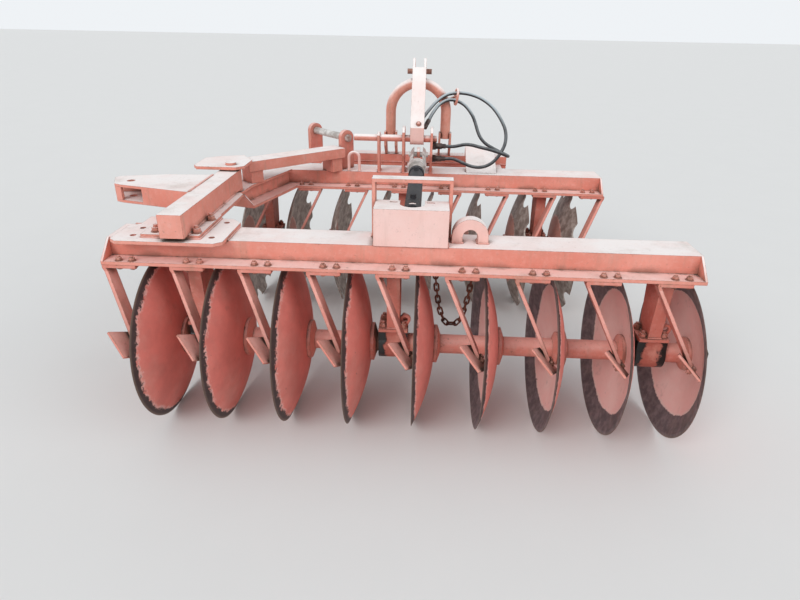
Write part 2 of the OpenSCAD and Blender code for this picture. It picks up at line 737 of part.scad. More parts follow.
module hitch_arms() color("salmon") placed()
    for (x = [-480, mast_x, 360])
        bar([x - 50, front_beam_y + beam_top_w / 2, beam_under + beam_flange_t],
            [x + 50, hitch_y, beam_top]);

module lower_hitch_pins() color("dimgray") placed()
    for (s = [-1, 1]) {
        x = mast_x + s * lower_span / 2;
        x_in = s > 0 ? x - bracket_t : x;
        translate([x_in, 0, 0]) rotate([90, 0, 90]) linear_extrude(bracket_t) union() {
            polygon([[hitch_y + 4, hitch_z], [hitch_y + hitch_w, hitch_z],
                     [lower_pin_y + 32, lower_pin_z + 12], [lower_pin_y - 28, lower_pin_z - 21]]);
            translate([lower_pin_y, lower_pin_z]) circle(lower_boss_r);
        }
        translate([x, lower_pin_y, lower_pin_z]) rotate([0, s * 90, 0])
            cylinder(d = lower_pin_d, h = lower_pin_len);
    }

// Hoop of bent tube on two pairs of plates
hoop_crown = hitch_top + 225;
module hoop() color("salmon") placed() translate([mast_x, hoop_y, 0]) {
    foot = hitch_top + 98;
    crown = hoop_crown;
    r = hoop_w / 2;
    translate([0, 0, crown]) rotate([90, 0, 0]) rotate_extrude(angle = 180)
        translate([r, 0]) circle(d = hoop_tube_d);
    for (s = [-1, 1]) {
        translate([s * r, 0, foot]) cylinder(d = hoop_tube_d, h = crown - foot);
        for (k = [-1, 1])
            translate([s * r + k * (hoop_tube_d / 2 + 2) - 5, 0, 0]) rotate([90, 0, 90])
                linear_extrude(10)
                    polygon([[-28, foot + 30], [-28, foot - 40], [56, hitch_top],
                             [120, hitch_top], [28, foot + 30]]);
    }
}

// Strap from its eye on the cross shaft up to the mast's ears
strap_low = [shaft_y - 18, shaft_cross_z + 50];
strap_high = [hoop_y - 30, top_pin_z + 20];
eye_r = 28;
function strap_front(z) = strap_low.x
    + (strap_high.x - strap_low.x) * (z - strap_low.y) / (strap_high.y - strap_low.y);
module mast_strap() color("mistyrose") placed() translate([mast_x - strap_w / 2, 0, 0])
    rotate([90, 0, 90]) linear_extrude(strap_w) difference() {
        union() {
            polygon([[shaft_y - eye_r, shaft_cross_z], [strap_low.x, shaft_cross_z], strap_low,
                     strap_high, [strap_high.x - strap_t, strap_high.y + 4],
                     [strap_low.x - strap_t + 2, strap_low.y + 4]]);
            translate([shaft_y, shaft_cross_z]) circle(eye_r);
        }
        translate([shaft_y, shaft_cross_z]) circle(d = shaft_cross_d + 2 * weld_gap);
    }

ear_low = hoop_crown + seat_gap
    + sqrt(pow((hoop_w + hoop_tube_d) / 2, 2) - pow(strap_w / 2 - strap_t, 2));
module mast_ears() color("mistyrose") placed() difference() {
    for (x = [mast_x - strap_w / 2, mast_x + strap_w / 2 - 12])
        translate([x, 0, 0]) rotate([90, 0, 90]) linear_extrude(12)
            polygon([[strap_front(ear_low), ear_low], [hoop_y + 60, ear_low],
                     [hoop_y + 60, top_pin_z + 30], [hoop_y + 30, top_pin_z + 62],
                     [hoop_y + 5, top_pin_z + 62], strap_high]);
    translate([mast_x - 60, hoop_y + 25, top_pin_z]) rotate([0, 90, 0])
        cylinder(d = top_pin_d + 2 * weld_gap, h = 120);
}

module top_link_pin() color("dimgray") placed()
    translate([mast_x - 60, hoop_y + 25, top_pin_z]) rotate([0, 90, 0])
        cylinder(d = top_pin_d, h = 120);

module front_gusset() color("lightsalmon") placed() {
    translate([220, 0, 0]) rotate([90, 0, 90]) linear_extrude(150)
        polygon([[1040, beam_top], [1062, beam_top], [hitch_y + 2, hitch_top + 40],
                 [hitch_y + 2, hitch_top], [hitch_y + 12, hitch_top],
                 [hitch_y + 12, hitch_top + 50], [hitch_y - 2, hitch_top + 50]]);
}

module rope_hook() color("mistyrose") placed() translate([-338, 1014, 0]) {
    for (s = [-1, 1]) translate([s * 26, 0, beam_top]) cylinder(d = 14, h = 66);
    translate([0, 0, beam_top + 66]) rotate([90, 0, 0]) rotate_extrude(angle = 180)
        translate([26, 0]) circle(d = 14);
}

// Eye lugs on the foot plates of the middle and right rear hangers
lug_r = 19;
lug_rise = 28;
module hanger_lugs() color("salmon") placed()
    for (i = [1, 2]) {
        x = hanger_x(REAR, REAR[BEARINGS][i]) + hanger_w / 2 + seat_gap + lug_r;
        foot = shaft_z + housing_seat + hanger_plate_t;
        translate([x, -14, foot]) rotate([90, 0, 0]) linear_extrude(12) difference() {
            union() {
                translate([0, lug_rise]) circle(lug_r);
                polygon([[-15, 0], [8, 0], [lug_r - 0.5, lug_rise - 4],
                         [-lug_r + 0.5, lug_rise - 4]]);
            }
            translate([0, lug_rise]) circle(9);
        }
    }

// Chain that hangs in a bight from two staples under the rear beam's far flange. Each link
// leans as the catenary does at its middle; upright links turn about the flat links' ends.
chain_mid = [137, 103, 337];
chain_sag = 22;
half_links = 11;
link_r = chain_wire * 1.25 / 2 + chain_wire / 2;
link_reach = chain_pitch / 2 + seat_gap + chain_wire / 2;
link_straight = link_reach - link_r;
function link_lean(k) = atan(k * chain_pitch / chain_sag);
function link_step(k) = (k % 2 == 0 ? link_reach : chain_pitch - link_reach)
    * [cos(link_lean(k)), 0, sin(link_lean(k))];
function link_at(k) = k == 0 ? [0, 0, 0] : link_at(k - 1) + link_step(k - 1) + link_step(k);
module link_end() rotate_extrude(angle = 180, $fn = 16)
    translate([link_r, 0]) circle(d = chain_wire, $fn = 6);
module link_sides(len) for (k = [-1, 1])
    translate([k * link_r, 0, 0]) rotate([-90, 0, 0]) cylinder(d = chain_wire, h = len, $fn = 6);
module chain_link() for (turn = [-90, 90]) rotate([0, 0, turn]) {
    translate([0, link_straight, 0]) link_end();
    link_sides(link_straight);
}
module hanging_chain() color("sienna") placed() translate(chain_mid) for (side = [0, 180]) {
    for (k = [side == 0 ? 0 : 1 : half_links])
        rotate([0, 0, side]) translate(link_at(k)) rotate([0, -link_lean(k), 0])
            rotate([k % 2 == 0 ? 0 : 90, 0, 0]) chain_link();
    eye = link_at(half_links) + link_step(half_links);
    rotate([0, 0, side]) translate(eye + [0, 0, link_r]) rotate([-90, 0, 90]) {
        link_end();
        mirror([0, 1, 0]) link_sides(beam_under - chain_mid.z - eye.z - link_r);
    }
}

// Hoses of the cylinder's circuit, from the bulkhead fittings over the ring on the hoop
// to their free couplers. Each route leaves its fitting along X.
LOW_HOSE = [[110, 1000, 775], [150, 1000, 775], [195, 1000, 758], [240, 997, 742],
            [288, 993, 740], [335, 996, 759], [372, 1008, 798], [398, 1030, 850],
            [398, 1060, 905], [372, 1090, 958], [332, 1120, 1006], [280, 1148, 1040],
            [222, 1170, 1058], [165, 1180, 1062], [110, 1168, 1054], [64, 1142, 1028],
            [24, 1108, 988], [-12, 1070, 944]];
HIGH_HOSE = [[110, 1000, 835], [150, 1000, 835], [202, 981, 849], [237, 968, 849],
             [269, 954, 844], [321, 941, 835], [373, 950, 818], [407, 982, 800],
             [416, 1023, 792], [403, 1064, 793], [366, 1095, 805], [316, 1107, 830],
             [288, 1113, 856], [271, 1126, 885], [254, 1145, 931], [236, 1152, 966],
             [200, 1167, 1006], [155, 1173, 1027], [113, 1163, 1029], [73, 1143, 1009],
             [44, 1108, 976], [24, 1072, 944]];
ring_mid = [156, 1176, 1045];
ring_way = [-93, -12, 10];
ring_r = 36;
ring_wire = 12;
function unit(v) = v / norm(v);
function between(a, b, c, d, t) = 0.5 * (2 * b + (c - a) * t
    + (2 * a - 5 * b + 4 * c - d) * t * t + (3 * b - a - 3 * c + d) * t * t * t);
function smooth(points) = let (last = len(points) - 1) concat(
    [for (i = [0 : last - 1], t = [0, 0.5])
        between(points[max(i - 1, 0)], points[i], points[i + 1], points[min(i + 2, last)], t)],
    [points[last]]);
function ways(line) = let (last = len(line) - 1)
    [for (k = [0 : last]) unit(line[min(k + 1, last)] - line[max(k - 1, 0)])];
module tube(points, d, sides = 10) {
    line = smooth(points);
    last = len(line) - 1;
    inner = ways(line);
    way = [for (k = [0 : last]) k == 0 ? unit(points[1] - points[0])
        : k == last ? unit(points[len(points) - 1] - points[len(points) - 2]) : inner[k]];
    side = [for (k = 0, n = unit(cross(way[0], [0, 1, 0])); k <= last;
             k = k + 1, n = k > last ? n : unit(n - (n * way[k]) * way[k])) n];
    rings = [for (k = [0 : last], j = [0 : sides - 1]) let (a = j * 360 / sides)
        line[k] + d / 2 * (cos(a) * side[k] + sin(a) * cross(way[k], side[k]))];
    polyhedron(rings, concat(
        [[for (j = [0 : sides - 1]) j]],
        [for (k = [0 : last - 1], j = [0 : sides - 1]) let (n = (j + 1) % sides)
            [k * sides + j, (k + 1) * sides + j, (k + 1) * sides + n, k * sides + n]],
        [[for (j = [sides - 1 : -1 : 0]) last * sides + j]]));
}
module facing(at, way) {
    v = unit(way);
    translate(at) rotate([0, acos(v.z), atan2(v.y, v.x)]) children();
}
module coupler(points) {
    last = len(points) - 1;
    facing(points[last], points[last] - points[last - 1]) {
        cylinder(d = hose_d + 6, h = 26);
        cylinder(d = hose_d + 2, h = 50);
        translate([0, 0, 32]) cylinder(d = hose_d + 7, h = 18);
    }
}

module low_hose() color("gray") placed() tube(LOW_HOSE, hose_d);
module high_hose() color("gray") placed() tube(HIGH_HOSE, hose_d);
module low_coupler() color("silver") placed() coupler(LOW_HOSE);
module high_coupler() color("silver") placed() coupler(HIGH_HOSE);

module hose_fittings() color("dimgray") placed()
    for (start = [LOW_HOSE[0], HIGH_HOSE[0]])
        translate([clevis_right + clevis_t, start.y, start.z]) rotate([0, 90, 0]) {
            cylinder(d = fitting_d + 8, h = 16, $fn = 6);
            cylinder(d = fitting_d, h = start.x - clevis_right - clevis_t - 18);
            cylinder(d = hose_d + 6, h = start.x - clevis_right - clevis_t);
        }

module hose_ring() color("salmon") placed() {
    facing(ring_mid, ring_way) rotate_extrude() translate([ring_r, 0]) circle(d = ring_wire);
    hold = ring_mid + [0, ring_r, 0];
    out = [hold.x - mast_x, hold.z - hoop_crown];
    seat = [mast_x, 0, hoop_crown] + hoop_w / 2 * [unit(out).x, 0, unit(out).y] + [0, hoop_y, 0];
    stem = seat - hold;
    facing(hold, stem) cylinder(d = ring_wire, h = norm(stem) - hoop_tube_d / 2 - seat_gap);
}

rear_discs();
rear_spools();
rear_shaft();
front_discs();
front_spools();
front_shaft();
rear_beam();
rear_hangers();
rear_bearings();
rear_scraper_arms();
rear_scraper_blades();
front_beam();
front_hangers();
front_bearings();
front_scraper_arms();
front_scraper_blades();
side_arm();
wing_plate();
foot_plate();
side_tube();
side_fork();
hinge_ears();
hinge_pin();
diagonal_channel();
slide_lugs();
slide_pin();
cylinder_box();
portal_strap();
lifting_arch();
barrel();
rod();
clevis_plates();
cylinder_tab();
cross_shaft();
hitch_beam();
hitch_arms();
lower_hitch_pins();
hoop();
mast_strap();
mast_ears();
top_link_pin();
front_gusset();
rope_hook();
hanger_lugs();
hanging_chain();
hose_ring();
hose_fittings();
low_hose();
low_coupler();
high_hose();
high_coupler();
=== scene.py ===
"""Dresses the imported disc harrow: faded paint, worn discs, bolts, welds, pins and hoses."""
import math

import bmesh
import bpy
from mathutils import Matrix, Vector


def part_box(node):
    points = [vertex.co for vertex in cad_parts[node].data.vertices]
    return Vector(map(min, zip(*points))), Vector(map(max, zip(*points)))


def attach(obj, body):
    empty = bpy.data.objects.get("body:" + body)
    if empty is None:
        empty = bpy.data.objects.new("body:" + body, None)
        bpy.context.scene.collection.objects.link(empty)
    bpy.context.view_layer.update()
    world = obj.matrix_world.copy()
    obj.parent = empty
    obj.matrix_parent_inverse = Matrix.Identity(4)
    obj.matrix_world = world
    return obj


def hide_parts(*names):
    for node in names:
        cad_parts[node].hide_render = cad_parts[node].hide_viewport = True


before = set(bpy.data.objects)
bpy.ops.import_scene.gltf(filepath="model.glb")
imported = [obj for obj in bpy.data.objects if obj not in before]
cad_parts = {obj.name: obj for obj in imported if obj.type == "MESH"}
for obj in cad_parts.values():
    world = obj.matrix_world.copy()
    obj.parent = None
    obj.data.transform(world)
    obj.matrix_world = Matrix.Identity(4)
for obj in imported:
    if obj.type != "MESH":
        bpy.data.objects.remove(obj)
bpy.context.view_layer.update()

# Camera
# The harrow is seen from behind and above, about 2 m behind the rear gang, at a standing
# person's eye level. The lens is a phone's wide one, level but for a slight tilt.
camera_place = (0.0955, -2.4517, 1.3797)
camera_down = 0.442
camera_left = 0.042
camera_tilt = 0.0186
focal_px = 589.6
photo_width_px = 800

eye = bpy.data.cameras.new("camera")
eye.sensor_width = 36.0
eye.lens = focal_px / photo_width_px * eye.sensor_width
eye.clip_end = 200.0  # past the floor's far edge
camera = bpy.data.objects.new("camera", eye)
camera.matrix_world = (
    Matrix.Translation(camera_place)
    @ Matrix.Rotation(camera_left, 4, "Z")
    @ Matrix.Rotation(math.pi / 2 - camera_down, 4, "X")
    @ Matrix.Rotation(camera_tilt, 4, "Z")
)
bpy.context.scene.collection.objects.link(camera)
bpy.context.scene.camera = camera

# Floor and light
# A plain pale floor under soft daylight: a broad sun from the left, a weak one from the
# right to fill the shaded side of the discs, and an even sky.
floor_reach = 60.0
floor_grey = (0.76, 0.76, 0.75)
floor_cloud = 1.03
sky_strength = 0.64
backdrop_strength = 0.92
sky_white = (0.94, 0.97, 1.0)


def add_node(tree, kind, settings, values):
    """A new node: its settings are set first, then the values or links of its sockets."""
    node = tree.nodes.new(kind)
    for name, value in settings.items():
        if name == "stops":
            while len(node.color_ramp.elements) < len(value):
                node.color_ramp.elements.new(0.5)
            for stop, (place, shade) in zip(node.color_ramp.elements, value):
                stop.position = place
                stop.color = (*shade, 1.0)
        else:
            setattr(node, name, value)
    for place, value in values.items():
        socket = node.inputs[place]
        if isinstance(value, Wire):
            value = value.socket
        if isinstance(value, bpy.types.NodeSocket):
            tree.links.new(value, socket)
        elif socket.type == "RGBA" and len(value) == 3:
            socket.default_value = (*value, 1.0)
        else:
            socket.default_value = value
    return node


class Wire:
    """One output socket of a finish. Arithmetic on it adds Math nodes."""

    def __init__(self, finish, socket):
        self.finish = finish
        self.socket = socket

    def math(self, operation, first, second=0.0):
        node = self.finish.add("ShaderNodeMath", {"operation": operation}, {0: first, 1: second})
        return Wire(self.finish, node.outputs[0])

    def __add__(self, other):
        return self.math("ADD", self, other)

    def __radd__(self, other):
        return self.math("ADD", other, self)

    def __sub__(self, other):
        return self.math("SUBTRACT", self, other)

    def __rsub__(self, other):
        return self.math("SUBTRACT", other, self)

    def __mul__(self, other):
        return self.math("MULTIPLY", self, other)

    def __rmul__(self, other):
        return self.math("MULTIPLY", other, self)

    def __truediv__(self, other):
        return self.math("DIVIDE", self, other)

    def __pow__(self, other):
        return self.math("POWER", self, other)

    def least(self, other):
        return self.math("MINIMUM", self, other)

    def most(self, other):
        return self.math("MAXIMUM", self, other)

    def between(self, low, high):
        """0 below low, 1 above high, and smooth from one to the other."""
        node = self.finish.add(
            "ShaderNodeMapRange",
            {"interpolation_type": "SMOOTHSTEP"},
            {0: self, 1: low, 2: high},
        )
        return Wire(self.finish, node.outputs[0])


class Finish:
    """A material whose pattern reads Object coordinates."""

    def __init__(self, name):
        self.material = bpy.data.materials.new(name)
        self.material.use_nodes = True
        self.tree = self.material.node_tree
        self.shader = self.tree.nodes["Principled BSDF"]
        self.place = self.add("ShaderNodeTexCoord", {}, {})

    def add(self, kind, settings, values):
        return add_node(self.tree, kind, settings, values)

    def axis(self, output, letter):
        """One coordinate of the surface's place or of its normal."""
        node = self.add("ShaderNodeSeparateXYZ", {}, {0: self.place.outputs[output]})
        return Wire(self, node.outputs[letter])

    def noise(self, scale, detail=3.0, roughness=0.55, stretch=(1, 1, 1), at=(0, 0, 0)):
        """Noise from 0 to 1, its grain stretched along an axis where asked."""
        moved = self.add(
            "ShaderNodeMapping",
            {},
            {"Vector": self.place.outputs["Object"], "Scale": stretch, "Location": at},
        )
        node = self.add(
            "ShaderNodeTexNoise",
            {},
            {"Vector": moved.outputs[0], "Scale": scale, "Detail": detail,
             "Roughness": roughness},
        )
        return Wire(self, node.outputs[0])

    def mix(self, share, first, second):
        """From the first colour to the second one, by share."""
        node = self.add(
            "ShaderNodeMix", {"data_type": "RGBA"}, {0: share, 6: first, 7: second}
        )
        return Wire(self, node.outputs[2])

    def edges(self, radius):
        """Near 0 on flat faces, rising to 1 along sharp edges."""
        soft = self.add("ShaderNodeBevel", {"samples": 4}, {"Radius": radius})
        plain = self.add("ShaderNodeNewGeometry", {}, {})
        dot = self.add(
            "ShaderNodeVectorMath",
            {"operation": "DOT_PRODUCT"},
            {0: soft.outputs[0], 1: plain.outputs["Normal"]},
        )
        return (1.0 - Wire(self, dot.outputs["Value"])) * 5.0

    def corners(self, reach):
        """0 on open faces, rising to 1 in corners and under what stands close by."""
        node = self.add("ShaderNodeAmbientOcclusion", {"samples": 6}, {"Distance": reach})
        return 1.0 - Wire(self, node.outputs["AO"])

    def close(self, colour, roughness, metallic=0.0, height=None, depth=0.001, bevel=0.0):
        """Links the shader: colour, roughness and a bump of that depth in metres."""
        for name, value in {
            "Base Color": colour, "Roughness": roughness, "Metallic": metallic,
        }.items():
            socket = self.shader.inputs[name]
            if isinstance(value, Wire):
                self.tree.links.new(value.socket, socket)
            else:
                socket.default_value = value if name != "Base Color" else (*value, 1.0)
        if height is not None:
            sockets = {"Height": height, "Distance": depth, "Strength": 1.0}
            if bevel:
                soft = self.add("ShaderNodeBevel", {"samples": 4}, {"Radius": bevel})
                sockets["Normal"] = soft.outputs[0]
            bump = self.add("ShaderNodeBump", {}, sockets)
            self.tree.links.new(bump.outputs[0], self.shader.inputs["Normal"])
        return self.material


def floor_finish():
    finish = Finish("pale_floor")
    lighter = tuple(c * floor_cloud for c in floor_grey)
    return finish.close(finish.mix(finish.noise(3.0, 4.0), floor_grey, lighter), roughness=0.9)


def mesh_object(name, mesh):
    """A new object at the origin that shows the mesh."""
    made = bpy.data.objects.new(name, mesh)
    bpy.context.scene.collection.objects.link(made)
    return made


floor_mesh = bpy.data.meshes.new("floor")
floor_mesh.from_pydata(
    [(x * floor_reach, y * floor_reach, 0.0) for x, y in [(-1, -1), (1, -1), (1, 1), (-1, 1)]],
    [],
    [(0, 1, 2, 3)],
)
floor_mesh.materials.append(floor_finish())
floor = mesh_object("floor", floor_mesh)


def soft_sun(name, place, spread, strength):
    """A sun that shines from that side, spread over an angle so that its shadows are soft."""
    light = bpy.data.lights.new(name, "SUN")
    light.angle = spread
    light.energy = strength
    lamp = bpy.data.objects.new(name, light)
    lamp.matrix_world = Vector(place).to_track_quat("Z", "Y").to_matrix().to_4x4()
    bpy.context.scene.collection.objects.link(lamp)


soft_sun("key_sun", place=(-0.50, -0.80, 0.62), spread=0.5, strength=1.25)
soft_sun("fill_sun", place=(0.84, -0.42, 0.50), spread=0.9, strength=0.68)

sky = bpy.data.worlds.new("sky")
bpy.context.scene.world = sky
sky.use_nodes = True
sky_tree = sky.node_tree
ray = add_node(sky_tree, "ShaderNodeLightPath", {}, {})
sees_sky = add_node(
    sky_tree, "ShaderNodeMath", {"operation": "MAXIMUM"},
    {0: ray.outputs["Is Camera Ray"], 1: ray.outputs["Is Glossy Ray"]},
)
strength = add_node(
    sky_tree, "ShaderNodeMapRange", {},
    {"Value": sees_sky.outputs[0], "To Min": sky_strength, "To Max": backdrop_strength},
)
sky_tree.links.new(strength.outputs[0], sky_tree.nodes["Background"].inputs["Strength"])
sky_tree.nodes["Background"].inputs["Color"].default_value = (*sky_white, 1.0)
bpy.context.scene.view_settings.view_transform = "Standard"


# Painted frame
# Beams, hangers, tube, plates and hitch are welded steel under one coat of orange paint.
# It has turned salmon and is chipped to rust at the edges. Its tops are paler, partly from
# the sun and partly as a painted highlight, and its corners darker, partly as painted shade.
paint_orange = (0.68, 0.20, 0.138)
paint_salmon = (0.86, 0.39, 0.315)
# The near-white of the tops: faded paint with a painted highlight laid over it.
paint_bleached_and_lit = (0.96, 0.92, 0.90)
rust_dark = (0.075, 0.028, 0.017)
rust_light = (0.24, 0.095, 0.045)
soil = (0.34, 0.235, 0.165)
caked_soil = (0.085, 0.065, 0.05)
grime_and_shade_brown = (0.20, 0.085, 0.055)
spot_brown = (0.20, 0.12, 0.085)
chalk = (0.94, 0.80, 0.75)
flange_level = (0.640, 0.695)
edge_reach = 0.004
chip_depth = 0.0007


def faded_and_lit_paint(name, fade_and_light, chips, orange=paint_orange, dirt_and_shade=1.0, salmon=paint_salmon):
    """Paint faded by that much, with painted light on faces that look up, and chipped,
    dirtied and shaded by that much, the corner darkening being painted shade.
    """
    finish = Finish(name)
    up = finish.axis("Normal", "Z").between(0.1, 0.95)
    lit = finish.axis("Normal", "Z").between(0.1, 0.7)
    open_top = lit * (0.40 + finish.axis("Object", "Z").between(*flange_level) * 0.60)
    broad = finish.noise(2.3, 4.0).between(0.32, 0.68)
    cloud = finish.noise(11.0, 5.0, at=(3, 1, 2)).between(0.35, 0.7)
    grain = finish.noise(140.0, 4.0, 0.75)
    streak = finish.noise(26.0, 4.0, 0.6, stretch=(1, 1, 0.08)).between(0.5, 0.75)
    # Faces that look up, the high flange tops most, turn salmon and then near-white: partly sun
    # fading and chalking, partly a painted highlight.
    fade_and_light_share = (up * (0.35 + fade_and_light) + broad * 0.30 + cloud * 0.25 + fade_and_light * 0.35).least(1.0)
    colour = finish.mix(fade_and_light_share, orange, salmon)
    on_top = open_top * (0.70 + broad * 0.25 + cloud * 0.15) * min(1.0, fade_and_light * 1.9)
    on_sides = (1.0 - up) * max(0.0, fade_and_light - 0.6) * (0.5 + broad * 0.6)
    colour = finish.mix((on_top + on_sides).least(0.95), colour, paint_bleached_and_lit)
    powder = finish.noise(55.0, 7.0, 0.75, at=(2, 6, 1)).between(0.48, 0.66)
    colour = finish.mix(powder * (0.10 + up * 0.30 * fade_and_light), colour, chalk)
    colour = finish.mix(streak * 0.30 * dirt_and_shade * (1.0 - up), colour, soil)
    dust = finish.noise(7.0, 6.0, 0.65, at=(7, 0, 4)).between(0.50, 0.72)
    colour = finish.mix(dust * (0.16 + up * 0.14) * dirt_and_shade, colour, soil)
    # Brown darkening in corners and under close parts: partly grime, partly painted shade.
    grime_and_shade = (finish.corners(0.035) * 1.5 * (0.4 + cloud)).between(0.20, 0.85)
    colour = finish.mix((grime_and_shade * 0.8 * dirt_and_shade).least(0.9), colour, grime_and_shade_brown)
    cake = finish.corners(0.018) * 0.5 + finish.noise(16.0, 7.0, 0.7, at=(4, 8, 6))
    colour = finish.mix(cake.between(0.70, 0.77) * up * dirt_and_shade, colour, caked_soil)
    spots = finish.noise(90.0, 6.0, 0.8, at=(9, 2, 5)).between(0.58, 0.68)
    colour = finish.mix(spots * 0.5 * dirt_and_shade, colour, spot_brown)
    flake = finish.noise(34.0, 9.0, 0.74, at=(1, 5, 3))
    wear = flake + finish.edges(edge_reach) * 0.16 + chips
    bite = wear.between(0.70, 0.725)
    rust = finish.mix(finish.noise(70.0, 5.0, 0.7), rust_dark, rust_light)
    halo = wear.between(0.62, 0.72)
    colour = finish.mix(halo * 0.35, colour, rust_light)
    colour = finish.mix(bite, colour, rust)
    rough = 0.60 + grain * 0.20 + bite * 0.22
    height = (1.0 - bite) * 0.6 + grain * 0.18 + cloud * 0.2 + powder * 0.06
    return finish.close(colour, rough, 0.0, height, chip_depth, bevel=edge_reach / 2)


def dress(finish, *names):
    """Gives CAD nodes that finish."""
    for name in names:
        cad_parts[name].material_slots[0].material = finish


frame_paint = faded_and_lit_paint("frame_paint", fade_and_light=0.55, chips=0.0)
# The high parts are painted nearly white all over: partly faded paint, partly painted light where
# they catch the sun.
pale_lit_paint = faded_and_lit_paint("pale_lit_paint", fade_and_light=1.0, chips=-0.01, orange=(0.76, 0.33, 0.26),
                         dirt_and_shade=0.7)
low_paint = faded_and_lit_paint("low_paint", fade_and_light=0.14, chips=0.03, orange=(0.60, 0.15, 0.105),
                        dirt_and_shade=1.2)
hoop_paint = faded_and_lit_paint("hoop_paint", fade_and_light=0.55, chips=0.02, orange=(0.62, 0.21, 0.145),
                         dirt_and_shade=1.3, salmon=(0.83, 0.41, 0.32))
dress(frame_paint, "rear_beam", "front_beam", "side_arm", "hinge_ears", "diagonal_channel",
      "clevis_plates", "cylinder_tab", "cross_shaft", "hitch_beam", "hitch_arms",
      "portal_strap", "foot_plate", "wing_plate", "side_tube", "hinge_pin")
dress(pale_lit_paint, "cylinder_box", "mast_strap", "mast_ears", "front_gusset", "rope_hook",
      "lifting_arch")
dress(low_paint, "rear_hangers", "front_hangers", "rear_scraper_arms", "rear_scraper_blades",
      "front_scraper_arms", "front_scraper_blades", "slide_lugs",
      "rear_spools", "front_spools", "hanger_lugs")
dress(hoop_paint, "hoop", "hose_ring")


# Side fork
# The box that reaches out from the side tube is welded from plate. A stay is pushed in at
# its tip, and its near wall is cut away there, up to a post at the corner.
plan_origin = Vector((0.07061, -0.545, 0.0))
window_low = (-1.150, 0.170, 0.745)
window_high = (-1.040, 0.2415, 0.794)
fork_corner = [(-1.130, 0.235), (-1.160, 0.250), (-1.1555, 0.259), (-1.1255, 0.244)]
post_bite = 0.001


def prism(name, outline, low, high):
    """An upright block on a plan outline, between two heights."""
    bottom = [plan_origin + Vector((x, y, low)) for x, y in outline]
    top = [plan_origin + Vector((x, y, high)) for x, y in outline]
    count = len(outline)
    sides = [(k, (k + 1) % count, (k + 1) % count + count, k + count) for k in range(count)]
    block = bpy.data.meshes.new(name)
    block.from_pydata(bottom + top, [], [range(count)[::-1], range(count, 2 * count)] + sides)
    shell = bmesh.new()
    shell.from_mesh(block)
    bmesh.ops.recalc_face_normals(shell, faces=shell.faces)
    shell.to_mesh(block)
    shell.free()
    return block


def cut_fork():
    """The fork with its near wall opened at the tip, and the post at its corner."""
    shell = bmesh.new()
    shell.from_mesh(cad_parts["side_fork"].data)
    bmesh.ops.remove_doubles(shell, verts=shell.verts, dist=1e-5)
    plain = bpy.data.meshes.new("opened_fork")
    shell.to_mesh(plain)
    shell.free()
    piece = mesh_object("opened_fork", plain)
    (x0, y0, z0), (x1, y1, z1) = window_low, window_high
    hole = mesh_object("window", prism("window", [(x0, y0), (x1, y0), (x1, y1), (x0, y1)], z0, z1))
    modifier = piece.modifiers.new("window", "BOOLEAN")
    modifier.object = hole
    modifier.solver = "EXACT"
    graph = bpy.context.evaluated_depsgraph_get()
    piece.data = bpy.data.meshes.new_from_object(piece.evaluated_get(graph))
    piece.modifiers.remove(modifier)
    bpy.data.objects.remove(hole)
    shell = bmesh.new()
    shell.from_mesh(piece.data)
    shell.from_mesh(prism("post", fork_corner, z0 - post_bite, z1 + post_bite))
    shell.to_mesh(piece.data)
    shell.free()
    piece.data.materials.clear()
    piece.data.materials.append(frame_paint)
    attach(piece, "rear_frame")
    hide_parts("side_fork")


cut_fork()


# Discs
# Pressed steel dishes, painted when new. Soil has worn the paint off in a ragged band
# round the rim, wider inside the dish, and the bare band has rusted dark.
disc_low, disc_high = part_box("rear_discs")
disc_radius = (disc_high[2] - disc_low[2]) / 2
outer_band = 0.022
inner_band = 0.075
chalky_edge = (0.86, 0.66, 0.60)
disc_dust = (0.72, 0.40, 0.33)
disc_smear = (0.26, 0.13, 0.10)
dried_mud = (0.25, 0.19, 0.15)
black_rust = (0.045, 0.022, 0.019)
scoured_edge_highlight = (0.24, 0.17, 0.13)


